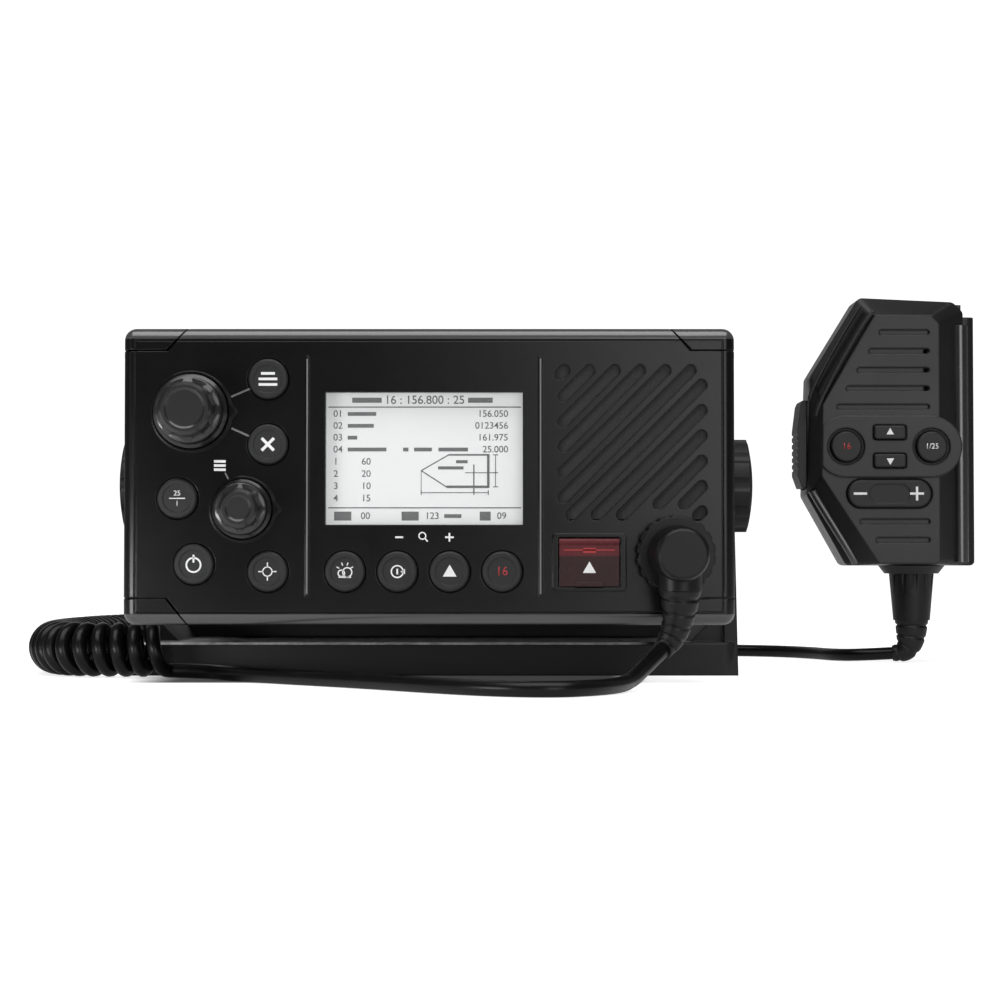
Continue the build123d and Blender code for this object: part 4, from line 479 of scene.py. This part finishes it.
def spline_curve(name, points, steps):
    """A curve of one NURBS spline, with that many steps from point to point."""
    curve = bpy.data.curves.new(name, "CURVE")
    curve.dimensions = "3D"
    curve.resolution_u = steps
    spline = curve.splines.new("NURBS")
    spline.points.add(len(points) - 1)
    for point, place in zip(spline.points, points):
        point.co = (*place, 1)
    spline.order_u = 3
    spline.use_endpoint_u = True
    obj = bpy.data.objects.new(name, curve)
    bpy.context.scene.collection.objects.link(obj)
    return obj


def smooth_path(points, name):
    """Points along the smooth line of a route, read from its spline."""
    obj = spline_curve(name, points, 16)
    bpy.context.view_layer.update()
    mesh = bpy.data.meshes.new_from_object(obj)
    path = [vertex.co.copy() for vertex in mesh.vertices]
    curve = obj.data
    bpy.data.meshes.remove(mesh)
    bpy.data.objects.remove(obj)
    bpy.data.curves.remove(curve)
    return path


def cord_curve(name, points, diameter, steps):
    """Round cord: a spline with a round section and closed ends."""
    obj = spline_curve(name, points, steps)
    obj.data.bevel_depth = diameter / 2
    obj.data.bevel_resolution = 5
    obj.data.use_fill_caps = True
    obj.data.splines[0].use_smooth = True
    return obj


def cord_mesh(curve, name, finish):
    """The cord's curve as a smooth, painted mesh."""
    choose(curve)
    bpy.ops.object.convert(target="MESH")
    obj = applied(bpy.context.object, name)
    bpy.ops.object.shade_smooth()
    paint(obj, finish)
    return obj


def length_of(path):
    return sum((b - a).length for a, b in zip(path, path[1:]))


def resampled(path, count):
    """The same line at even steps."""
    out = [path[0]]
    walked = 0.0
    want = length_of(path) / (count - 1)
    for a, b in zip(path, path[1:]):
        step = (b - a).length
        while walked + step >= want * len(out) - 1e-12 and len(out) < count - 1:
            out.append(a.lerp(b, (want * len(out) - walked) / step))
        walked += step
    return out + [path[-1]]


# ---------------------------------------------------------------- ink: flat printed marks
class Ink:
    """Flat marks on one face, in millimetres, as thin printed shapes."""

    def __init__(self, name, y, body, finish):
        deselect()
        bpy.ops.mesh.primitive_plane_add(size=MM, location=(0, y, 0), rotation=UPRIGHT)
        self.obj = applied(bpy.context.object, name)
        self.y = y
        self.body = body
        self.finish = finish
        edit_all()
        bpy.ops.mesh.delete(type="VERT")
        self.words = []

    def begin(self, x, z):
        """Leaves nothing selected and gives the place of the next mark."""
        bpy.ops.mesh.select_all(action="DESELECT")
        return x * MM, self.y, z * MM

    def turned(self, turn, at):
        if turn:
            bpy.ops.transform.rotate(value=math.radians(turn), orient_axis="Y", center_override=at)

    def bar(self, x, z, width, height, turn=0.0):
        at = self.begin(x, z)
        bpy.ops.mesh.primitive_plane_add(size=MM, location=at, rotation=UPRIGHT)
        bpy.ops.transform.resize(value=(width, 1, height), center_override=at)
        self.turned(turn, at)

    def cross(self, x, z, size, width, turn=0.0):
        """Two bars that cross without lying on each other."""
        self.bar(x, z, size, width, turn)
        arm = (size - width) / 2
        reach = (size + width) / 4
        angle = math.radians(turn + 90)
        for side in (-1, 1):
            out = side * reach
            self.bar(x + out * math.cos(angle), z + out * math.sin(angle), arm, width, turn + 90)

    def ring(self, x, z, radius, width):
        at = self.begin(x, z)
        inner = radius - width
        bpy.ops.mesh.primitive_circle_add(vertices=40, radius=inner * MM, location=at, rotation=UPRIGHT)
        bpy.ops.mesh.extrude_region_move()
        scale = radius / inner
        bpy.ops.transform.resize(value=(scale, 1, scale), center_override=at)

    def triangle(self, x, z, radius, turn=0.0):
        at = self.begin(x, z)
        bpy.ops.mesh.primitive_circle_add(vertices=3, radius=radius * MM, location=at, rotation=UPRIGHT,
                                          fill_type="NGON")
        self.turned(turn, at)

    def line(self, points, width):
        """Strokes from point to point, each a bar."""
        for (x0, z0), (x1, z1) in zip(points, points[1:]):
            length = math.hypot(x1 - x0, z1 - z0)
            turn = math.degrees(math.atan2(z1 - z0, x1 - x0))
            self.bar((x0 + x1) / 2, (z0 + z1) / 2, length, width, turn)

    def number(self, text, x, z, height, side="CENTER"):
        self.words.append((text, x, z, height, side))

    def done(self):
        """Turns the figures into mesh, joins all marks and gives them their thickness."""
        bpy.ops.object.mode_set(mode="OBJECT")
        parts = [self.obj]
        for text, x, z, height, side in self.words:
            deselect()
            bpy.ops.object.text_add(location=(0, 0, 0))
            figure = bpy.context.object
            figure.data.body = text
            figure.data.size = height * MM * FIGURE_SCALE
            figure.data.align_x = side
            figure.data.align_y = "CENTER"
            figure.data.offset = FIGURE_BOLD
            bpy.ops.object.convert(target="MESH")
            figure = bpy.context.object
            figure.location = (x * MM, self.y, z * MM)
            figure.rotation_euler = UPRIGHT
            parts.append(applied(figure, "figure"))
        deselect()
        for part in parts:
            part.select_set(True)
        bpy.context.view_layer.objects.active = self.obj
        if len(parts) > 1:
            bpy.ops.object.join()
        face_outward()
        thick = self.obj.modifiers.new("thick", "SOLIDIFY")
        thick.thickness = INK_THICK
        thick.offset = 0.0
        bpy.ops.object.modifier_apply(modifier="thick")
        paint(self.obj, self.finish)
        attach(self.obj, self.body)
        return self.obj


# ---------------------------------------------------------------- stage
# name, place, aim, width, height, power
LAMPS = (
    ("lamp_top", (0.0, -0.45, 1.10), (0.0, -0.05, 0.03), 1.5, 0.9, 16.0),
    ("lamp_left", (-1.05, -0.70, 0.30), (-0.03, -0.08, 0.05), 0.4, 0.4, 0.25),
    ("lamp_low", (-0.20, -0.26, 0.020), (-0.065, -0.09, 0.065), 0.12, 0.03, 0.25),
    ("card_right", (0.55, -1.60, 0.20), (0.06, -0.08, 0.06), 0.82, 0.90, 7.4),
    ("card_soft", (0.08, -1.62, 0.45), (0.06, -0.08, 0.06), 0.14, 0.60, 0.30),
)


class RADIO_OT_stage(Operator):
    """Camera, lamps, floor and backdrop"""
    bl_idname = "radio.stage"
    bl_label = "Stage"

    def execute(self, context):
        scene = context.scene
        settings = scene.radio_view
        data = bpy.data.cameras.new("camera")
        data.lens = settings.lens
        data.sensor_width = 36
        data.clip_start = 0.01
        camera = bpy.data.objects.new("camera", data)
        camera.location = settings.place
        camera.rotation_euler = (math.radians(90) + settings.lift, 0, 0)
        scene.collection.objects.link(camera)
        scene.camera = camera
        scene.view_settings.view_transform = "Standard"

        floor_white = self.stage_material("floor_white", 0.80, 0.95)
        back_white = self.stage_material("backdrop_white", 1.0)
        deselect()
        bpy.ops.mesh.primitive_plane_add(size=6, location=(0, 2.38, 0))
        bpy.ops.transform.resize(value=(1.4, 1, 1))
        floor = applied(context.object, "stage_floor")
        deselect()
        bpy.ops.mesh.primitive_plane_add(size=4, location=(0, 4.2, 1.9), rotation=UPRIGHT)
        backdrop = applied(context.object, "stage_backdrop")
        floor.data.materials.append(floor_white)
        backdrop.data.materials.append(back_white)

        # the room is white to the camera and lights the object only a little
        world = bpy.data.worlds.new("studio")
        world.use_nodes = True
        tree = world.node_tree
        room = tree.nodes["Background"]
        room.inputs["Color"].default_value = plain(1)
        path = tree.nodes.new("ShaderNodeLightPath")
        level = tree.nodes.new("ShaderNodeMapRange")
        level.inputs["To Min"].default_value = 0.13
        tree.links.new(path.outputs["Is Camera Ray"], level.inputs["Value"])
        tree.links.new(level.outputs[0], room.inputs["Strength"])
        scene.world = world
        for name, place, aim, width, height, power in LAMPS:
            lamp = bpy.data.lights.new(name, "AREA")
            lamp.shape = "RECTANGLE"
            lamp.size = width
            lamp.size_y = height
            lamp.energy = power * settings.light
            obj = bpy.data.objects.new(name, lamp)
            obj.location = place
            obj.rotation_euler = (Vector(aim) - Vector(place)).to_track_quat("-Z", "Y").to_euler()
            scene.collection.objects.link(obj)
        return {"FINISHED"}

    def stage_material(self, name, own, under=0.0):
        """White to the camera and in reflections, but a plain pale surface to the light.

        own is its glow close to the object, less than all the light so that the object's shadow
        shows; under is the strength of a painted shadow on the floor under the radio, beside the foot,
        where the pale colour is darkened and the glow lowered.
        """
        stage = Finish(name, plain(1), 1.0)
        colour = plain(0.62)
        reach = stage.add("ShaderNodeVectorMath", {"operation": "LENGTH"}, {0: stage.here()}, "Value")
        spread = {"Value": reach, "From Min": 0.25, "From Max": 0.90, "To Min": own}
        white = stage.add("ShaderNodeMapRange", {}, spread)
        if under:
            across, deep = stage.axes()[:2]
            wide = stage.rise(across, -95 * MM, -75 * MM) * stage.fall(across, 54 * MM, 66 * MM)
            long = stage.rise(deep, -78 * MM, -64 * MM) * stage.fall(deep, 20 * MM, 50 * MM)
            # painted shadow under the radio: the floor's glow is lowered and its pale colour darkened in
            # this box
            painted_shadow = under * (wide * long)
            white = white * (1.0 - painted_shadow)
            colour = stage.between(painted_shadow, colour, plain(0.16))
        pale = stage.add("ShaderNodeBsdfDiffuse", {}, {"Color": colour})
        camera, glossy, clear = (stage.add("ShaderNodeLightPath", {}, {}, "Is " + ray + " Ray")
                                 for ray in ("Camera", "Glossy", "Transmission"))
        # the pale surface is lit as well: in reflections both together make plain white
        level = stage.add("ShaderNodeMapRange", {}, {"Value": camera, "To Min": 0.4})
        glow = stage.add("ShaderNodeEmission", {}, {"Strength": white * level})
        both = stage.add("ShaderNodeAddShader", {}, {0: pale, 1: glow})
        seen = camera.sum("MAXIMUM", camera, glossy)
        seen = seen.sum("MAXIMUM", seen, clear)
        mix = stage.add("ShaderNodeMixShader", {}, {0: seen, 1: pale, 2: both})
        stage.tree.nodes.remove(stage.shader)
        stage.tree.links.new(mix.socket, stage.tree.nodes["Material Output"].inputs["Surface"])
        return stage.material


class RADIO_OT_cords(Operator):
    """Plain lead, curly cord and plain run to the handset"""
    bl_idname = "radio.cords"
    bl_label = "Cords"

    def execute(self, context):
        sizes = context.scene.radio_cord
        self.lead(sizes.cord_diameter)
        self.curly(sizes)
        return {"FINISHED"}

    def lead(self, diameter):
        path = smooth_path(LEAD_ROUTE, "lead_line")
        lead = cord_mesh(cord_curve("lead", LEAD_ROUTE, diameter, 16), "lead", "sheath")
        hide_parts("cord_lead")
        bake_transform(lead)
        round(length_of(path), 3)

    def turns_at(self, share, turns):
        """Turns made up to a share of the line: the first and the last one are drawn out."""
        if share < COIL_EASE:
            done = share * share / (2 * COIL_EASE)
        elif share > 1 - COIL_EASE:
            done = 1 - COIL_EASE - (1 - share) ** 2 / (2 * COIL_EASE)
        else:
            done = share - COIL_EASE / 2
        return round(turns * (1 - COIL_EASE)) * done / (1 - COIL_EASE)

    def curly(self, sizes):
        """The helix follows the coil's line; its last turn runs out into the plain cord."""
        turns = sizes.coil_turns
        steps = turns * COIL_STEPS
        line = resampled(smooth_path(COIL_ROUTE, "coil_line"), steps + 1)
        radius = (sizes.coil_diameter - sizes.cord_diameter) / 2
        up = Vector((0, 0, 1))
        points = []
        for number, place in enumerate(line):
            ahead = line[min(number + 1, steps)] - line[max(number - 1, 0)]
            side = up.cross(ahead).normalized()
            angle = 2 * math.pi * self.turns_at(number / steps, turns)
            points.append(place + radius * (side * math.sin(angle) - up * math.cos(angle)))
        points += [Vector(point) for point in REAR_ROUTE[1:]]
        obj = cord_curve("curly_cord", points, sizes.cord_diameter, 3)
        paint(obj, "sheath")
        path = smooth_path(points, "curly_line")
        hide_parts("cord_coil", "cord_rear_run")
        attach(obj, "bracket")
        round(length_of(path), 3)


class RADIO_OT_finishes(Operator):
    """Finishes of all pieces that come from the construction model"""
    bl_idname = "radio.finishes"
    bl_label = "Finishes"

    def execute(self, context):
        FINISHES.update(make_finishes(context.scene.radio_colour))
        for node, obj in frame["nodes"].items():
            paint(obj, NODE_FINISH[node])
        return {"FINISHED"}


class RADIO_OT_smoothed(Operator):
    """Merged copies with smooth shading in place of the facets"""
    bl_idname = "radio.smoothed"
    bl_label = "Smooth pieces"

    def execute(self, context):
        for node in SMOOTHED:
            source = frame["nodes"][node]
            deselect()
            copy = source.copy()
            copy.data = source.data.copy()
            copy.parent = None
            for key in list(copy.keys()):
                del copy[key]
            context.scene.collection.objects.link(copy)
            copy.matrix_world = Matrix.Identity(4)
            copy.hide_render = False
            copy.hide_viewport = False
            copy.name = node + "_smooth"
            choose(copy)
            edit_all()
            bpy.ops.mesh.remove_doubles(threshold=MERGED)
            bpy.ops.object.mode_set(mode="OBJECT")
            if node == "gimbal_washers":
                # they turn against the arms, with a hair of room
                slim = copy.modifiers.new("slim", "DISPLACE")
                slim.strength = -WASHER_ROOM
                slim.mid_level = 0.0
                bpy.ops.object.modifier_apply(modifier="slim")
            if copy.data.has_custom_normals:
                bpy.ops.mesh.customdata_custom_splitnormals_clear()
            choose(copy)
            bpy.ops.object.shade_smooth_by_angle(angle=SMOOTH_ANGLE)
            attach(copy, body_of(node))
            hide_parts(node)
        return {"FINISHED"}


class RADIO_OT_boots(Operator):
    """Soft ribs of the two strain reliefs"""
    bl_idname = "radio.boots"
    bl_label = "Boots"

    def execute(self, context):
        # radii in millimetres, by their share of the boot's length
        plug_radii = ((0.0, 6.0), (0.35, 4.7), (0.7, 3.9), (1.0, 2.9))
        handset_radii = ((0.0, 6.0), (0.4, 5.2), (0.75, 3.9), (1.0, 2.7))
        plug_x = 0.0710
        plug_y = (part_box("plug_body")[0][1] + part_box("plug_ring")[0][1]) / 2
        start = Vector((plug_x, plug_y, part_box("plug_boot")[1][2]))
        end, after = Vector(LEAD_ROUTE[0]), Vector(LEAD_ROUTE[1])
        line = self.bend(start, 0.008, end, (end - after).normalized() * 0.007)
        self.ribbed("plug_boot", line, plug_radii, 5, start.z)

        stem_x, stem_z = 0.1656, 0.0152
        end, before = Vector(REAR_ROUTE[-1]), Vector(REAR_ROUTE[-2])
        heading = (end - before).normalized()
        start = Vector((stem_x, end.y + heading.y * (stem_x - end.x) / heading.x, stem_z))
        line = self.bend(start, 0.0095, end, heading * 0.0055)
        self.ribbed("handset_boot", line, handset_radii, 4, start.z)
        return {"FINISHED"}

    def bend(self, start, drop, end, pull):
        """Cubic line from straight down at the start to the cord's line at the end."""
        one, two = start - Vector((0, 0, drop)), end + pull
        line = []
        for number in range(BOOT_STEPS + 1):
            t = number / BOOT_STEPS
            left = 1 - t
            line.append(start * left ** 3 + one * (3 * t * left ** 2) + two * (3 * t * t * left)
                        + end * t ** 3)
        return line

    def ribbed(self, node, line, radii, ribs, cut):
        """A tube with soft ribs, joined to what the node has above the cut."""
        groove, sharp, fade, over_floor = 0.75, 2.2, 0.3, 0.1
        points = resampled(line, BOOT_STEPS + 1)
        tube = cord_curve(node + "_ribs", points, 2 * MM, 1)
        for number, point in enumerate(tube.data.splines[0].points):
            share = number / BOOT_STEPS
            for (s0, r0), (s1, r1) in zip(radii, radii[1:]):
                if s0 <= share <= s1:
                    radius = r0 + (r1 - r0) * (share - s0) / (s1 - s0)
            wave = abs(math.sin(math.pi * (ribs * share + 0.5)))
            dent = groove * max(0.0, 1 - wave * sharp) * (1 - fade * share)
            point.radius = min(radius - dent, points[number].z / MM - over_floor)
        tube = cord_mesh(tube, node + "_ribs", "boot")
        upper = bpy.data.objects[node + "_smooth"]
        choose(upper)
        bpy.ops.object.mode_set(mode="EDIT")
        mesh = bmesh.from_edit_mesh(upper.data)
        bpy.ops.mesh.select_all(action="DESELECT")
        for face in mesh.faces:
            face.select_set(face.calc_center_median().z < cut - 0.2 * MM)
        bmesh.update_edit_mesh(upper.data)
        bpy.ops.mesh.delete(type="FACE")
        bpy.ops.object.mode_set(mode="OBJECT")
        choose(upper)
        tube.select_set(True)
        bpy.ops.object.join()


class RADIO_OT_beads(Operator):
    """Moulded beads along the handset's left shoulders and its right side"""
    bl_idname = "radio.beads"
    bl_label = "Handset beads"

    def execute(self, context):
        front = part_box("handset_front")[0][1]
        # name, width, finish, then the route: x, depth behind the shell's front, z
        beads = (
            ("bead_inner", 1.5, "handset",
             ((150.4, 0.35, 122.4), (148.6, 0.45, 122.2), (130.8, 0.5, 91.0), (129.9, 0.8, 86.0))),
            ("bead_outer", 1.5, "handset",
             ((146.0, 3.1, 124.6), (144.6, 3.2, 123.2), (128.9, 3.2, 96.0), (128.2, 3.4, 92.0))),
            ("bead_right", 6.0, "bead",
             ((181.2, 7.4, 35.4), (181.2, 7.4, 60.0), (181.2, 7.4, 90.0), (181.2, 7.6, 118.0))),
            ("bead_lower", 3.2, "bead",
             ((129.4, 5.4, 60.5), (130.4, 6.0, 58.5), (143.6, 6.0, 37.2), (144.6, 6.6, 35.2))),
        )
        for name, width, finish, route in beads:
            points = [(x * MM, front + deep * MM, z * MM) for x, deep, z in route]
            bead = cord_mesh(cord_curve(name, points, width * MM, 8), name, finish)
            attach(bead, body_of("handset_front"))
        return {"FINISHED"}


class RADIO_OT_marks(Operator):
    """Marks on the keys and round the knobs"""
    bl_idname = "radio.marks"
    bl_label = "Marks"

    def execute(self, context):
        for node in ROUND_KEYS:
            at = centre(node)
            x, z = at.x / MM, at.z / MM
            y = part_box(node)[0][1] + 0.25 * MM
            finish = "red" if node == "key_sixteen" else "ink"
            ink = Ink("mark_" + node, y, body_of(node), finish)
            getattr(self, "mark_" + node[4:])(ink, x, z)
            ink.done()
        self.mark_face()
        return {"FINISHED"}

    def mark_menu(self, ink, x, z):
        for step, width in ((-1.6, 5.4), (0, 5.4), (1.6, 4.0)):
            ink.bar(x, z + step, width, 0.75)

    def mark_cancel(self, ink, x, z):
        ink.cross(x, z, 5.0, 0.85, 45)

    def mark_level(self, ink, x, z):
        ink.bar(x, z, 4.6, 0.3)
        ink.number("25", x, z + 1.45, 1.5)
        ink.number("1", x, z - 1.5, 1.5)

    def mark_power(self, ink, x, z):
        ink.ring(x, z - 0.2, 2.3, 0.5)
        ink.bar(x, z + 1.6, 0.55, 2.2)

    def mark_mark(self, ink, x, z):
        ink.ring(x, z, 1.5, 0.35)
        reach, width, more = 1.9, 0.35, 1.1
        for dx, dz in ((0, 1), (0, -1), (1, 0), (-1, 0)):
            ink.bar(x + reach * dx, z + reach * dz, width + more * abs(dx), width + more * abs(dz))

    def mark_weather(self, ink, x, z):
        ink.ring(x - 1.0, z - 0.5, 1.1, 0.35)
        ink.ring(x + 0.7, z - 0.2, 1.5, 0.35)
        ink.bar(x, z - 1.6, 3.6, 0.4)
        reach = 2.3
        for turn in (30, 70, 110, 150):
            angle = math.radians(turn)
            ink.bar(x + reach * math.cos(angle), z + reach * math.sin(angle), 0.9, 0.3, turn)

    def mark_scan(self, ink, x, z):
        ink.ring(x, z, 1.9, 0.4)
        ink.triangle(x + 1.8, z, 0.9, 90)
        ink.bar(x, z, 0.5, 1.6)

    def mark_watch(self, ink, x, z):
        ink.triangle(x, z - 0.3, 2.3)

    def mark_sixteen(self, ink, x, z):
        ink.number("16", x, z, 2.6)

    def mark_face(self):
        """Lines from the knobs to their keys, the small label, painted highlights along the dividers and
        the signs under the display.
        """
        lines = Ink("mark_knob_lines", FACE_Y - INK_LIFT, "radio", "grey")
        for points, width in ((((-57.2, 83.0), (-51.8, 85.3)), 0.55),
                              (((-57.1, 73.9), (-52.0, 71.6)), 0.55),
                              (((-58.9, 61.0), (-57.9, 59.2)), 0.45)):
            lines.line(points, width)
        lines.done()
        label = Ink("mark_knob_label", FACE_Y - INK_LIFT, "radio", "ink")
        for step in (-1.2, 0.0, 1.2):
            label.bar(-60.4, 63.1 + step, 3.4, 0.75)
        label.done()
        # grey lines along the two raised dividers: a painted highlight on their ridges
        ridge_highlights = Ink("divider_ridge_highlights", FACE_Y - 0.40 * MM, "radio", "grey")
        for x in (-35.2, 32.2):
            ridge_highlights.bar(x, 60.0, 0.42, 68.0)
        ridge_highlights.done()
        signs = Ink("mark_zoom", FACE_Y - INK_LIFT, "radio", "ink")
        signs.bar(-8.6, 42.4, 2.3, 0.5)
        signs.cross(5.9, 42.4, 2.5, 0.5)
        signs.ring(-1.9, 42.8, 1.15, 0.35)
        signs.bar(-0.75, 41.6, 1.2, 0.4, -45)
        signs.done()


class RADIO_OT_display(Operator):
    """Figures and lines on the display glass"""
    bl_idname = "radio.display"
    bl_label = "Display"

    def execute(self, context):
        ink = Ink("display_figures", PANEL_Y - 0.04 * MM, "radio", "cells")
        self.title(ink, -1.4, 82.3)
        self.table(ink)
        self.hull(ink)
        self.foot(ink, 48.6)
        ink.done()
        return {"FINISHED"}

    def title(self, ink, middle, z):
        """The line on top, and the two rules across the display."""
        for rule in (80.3, 51.0):
            ink.bar(middle, rule, 56.0, 0.35)
        ink.number("16 : 156.800 : 25", middle, z, 2.5)
        for x, width in ((-18.2, 8.6), (14.8, 7.2)):
            ink.bar(x, z, width, 1.5)

    def table(self, ink):
        """Four rows on the whole width, then four short ones at the left."""
        rows = (("01", 8.3, "156.050"), ("02", 7.6, "0123456"), ("03", 2.8, "161.975"),
                ("04", 11.3, "25.000"))
        for row, (left, width, right) in enumerate(rows):
            z = 78.3 - 3.45 * row
            ink.number(left, -26.6, z, 2.0)
            ink.bar(width / 2 - 23.8, z, width, 1.1)
            ink.number(right, 22.9, z, 2.0, "RIGHT")
        for x, width in ((-6.9, 1.6), (-1.9, 5.2), (6.9, 8.6)):
            ink.bar(x, z, width, 1.1)
        for row, (left, right) in enumerate((("1", "60"), ("2", "20"), ("3", "10"), ("4", "15"))):
            z = 64.4 - 3.55 * row
            ink.number(left, -27.2, z, 2.0)
            ink.number(right, -18.4, z, 2.0)

    def hull(self, ink):
        """Outline of a hull, bow to the left, with a scale at its right and one below."""
        bow, stern, scale = -2.4, 17.1, 19.2
        low, high, below = 57.1, 66.4, 55.4
        ink.line(((4.9, low), (bow, 61.8), (5.6, high)), 0.35)
        ink.line(((5.6, high), (stern, high)), 0.5)
        ink.line(((stern, 66.6), (stern, 56.8)), 0.75)
        ink.line(((4.9, low), (stern, low)), 0.75)
        ink.line(((scale, low), (scale, high)), 0.25)
        for z in (low, 61.2, high):
            ink.bar(scale, z, 1.5, 0.3)
        ink.line(((bow, below), (stern, below)), 0.25)
        for x in (bow, 12.9, stern):
            ink.bar(x, below, 0.3, 1.4)
        ink.line(((bow, 61.8), (bow, below)), 0.2)
        ink.line(((10.4, 61.2), (scale, 61.2)), 0.25)
        ink.line(((12.9, 63.6), (12.9, below)), 0.4)
        for x, z, width in ((9.4, 64.4, 3.4), (6.2, 62.6, 7.4)):
            ink.bar(x, z, width, 0.9)

    def foot(self, ink, z):
        for x, width, height in ((-25.2, 5.0, 2.6), (-5.6, 5.0, 2.6), (16.2, 3.2, 2.6), (6.8, 5.0, 1.1)):
            ink.bar(x, z, width, height)
        for text, x in (("00", -18.6), ("123", 0.8), ("09", 21.0)):
            ink.number(text, x, z, 2.0)


class RADIO_OT_distress(Operator):
    """Lamp strip and plain mark on the distress cover"""
    bl_idname = "radio.distress"
    bl_label = "Distress cover"

    def execute(self, context):
        low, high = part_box("distress_cover")
        x = (low[0] + high[0]) / 2 / MM
        y = low[1] + 0.68 * MM
        lamp = Ink("distress_lamp", y, "distress_cover", "red")
        lamp.bar(x, 38.7, 14.6, 0.35)
        lamp.bar(x, 38.6, 3.6, 1.5)
        lamp.done()
        mark = Ink("distress_mark", y, "distress_cover", "ink")
        mark.triangle(x, 33.2, 2.2)
        mark.done()
        return {"FINISHED"}


class RADIO_OT_grille_cloth(Operator):
    """Water-tight cloth in the slots of the speaker grille"""
    bl_idname = "radio.grille_cloth"
    bl_label = "Grille cloth"

    def execute(self, context):
        inset, width, thick = 1.15 * MM, 46 * MM, 0.25 * MM
        middle = centre("speaker_basket")
        deselect()
        bpy.ops.mesh.primitive_grid_add(x_subdivisions=24, y_subdivisions=24, size=width,
                                        location=(middle.x, FACE_Y + inset, middle.z), rotation=UPRIGHT)
        cloth = applied(context.object, "grille_cloth")
        edit_all()
        bpy.ops.mesh.extrude_region_move(TRANSFORM_OT_translate={"value": (0, thick, 0)})
        face_outward()
        paint(cloth, "cloth")
        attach(cloth, "radio")
        return {"FINISHED"}


class RADIO_OT_handset_marks(Operator):
    """Marks on the handset's keys"""
    bl_idname = "radio.handset_marks"
    bl_label = "Handset marks"

    def execute(self, context):
        for node, text, height, finish in (("handset_key_call", "16", 2.3, "red"),
                                           ("handset_key_power", "1/25", 1.9, "ink")):
            ink, x, z = self.ink_on(node, "mark_" + node.replace("key_", ""), finish)
            ink.number(text, x, z, height)
            ink.done()
        for node, turn in (("handset_key_up", 0), ("handset_key_down", 180)):
            ink, x, z = self.ink_on(node, "mark_" + node, "ink")
            ink.triangle(x, z, 1.5, turn)
            ink.done()
        ink, x, z = self.ink_on("volume_rocker", "mark_rocker", "ink")
        ink.bar(x - 10.2, z, 4.6, 0.8)
        ink.cross(x + 9.4, z, 4.8, 0.8)
        ink.done()
        return {"FINISHED"}

    def ink_on(self, node, name, finish):
        """Ink on the front of a key, and the key's middle in millimetres."""
        at = centre(node) / MM
        return Ink(name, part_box(node)[0][1] - INK_LIFT, node, finish), at.x, at.z


class RADIO_PT_panel(Panel):
    """Lists the steps in their order"""
    bl_label = "Marine radio"
    bl_idname = "RADIO_PT_panel"
    bl_space_type = "VIEW_3D"
    bl_region_type = "UI"
    bl_category = "Radio"

    def draw(self, context):
        scene = context.scene
        for group in (scene.radio_view, scene.radio_cord, scene.radio_colour):
            box = self.layout.box()
            for name in group.__annotations__:
                box.prop(group, name)
        for step in STEPS:
            self.layout.operator(step.bl_idname)


STEPS = (
    RADIO_OT_finishes,
    RADIO_OT_stage,
    RADIO_OT_cords,
    RADIO_OT_smoothed,
    RADIO_OT_boots,
    RADIO_OT_beads,
    RADIO_OT_marks,
    RADIO_OT_display,
    RADIO_OT_grille_cloth,
    RADIO_OT_distress,
    RADIO_OT_handset_marks,
)
CLASSES = (RadioViewSettings, RadioCordSettings, RadioColourSettings) + STEPS + (RADIO_PT_panel,)


def register():
    for item in CLASSES:
        bpy.utils.register_class(item)
    bpy.types.Scene.radio_view = PointerProperty(type=RadioViewSettings)
    bpy.types.Scene.radio_cord = PointerProperty(type=RadioCordSettings)
    bpy.types.Scene.radio_colour = PointerProperty(type=RadioColourSettings)


def unregister():
    del bpy.types.Scene.radio_view
    del bpy.types.Scene.radio_cord
    del bpy.types.Scene.radio_colour
    for item in reversed(CLASSES):
        bpy.utils.unregister_class(item)


def main():
    register()
    for step in STEPS:
        group, name = step.bl_idname.split(".")
        getattr(getattr(bpy.ops, group), name)()
    deselect()


if __name__ == "__main__":
    main()
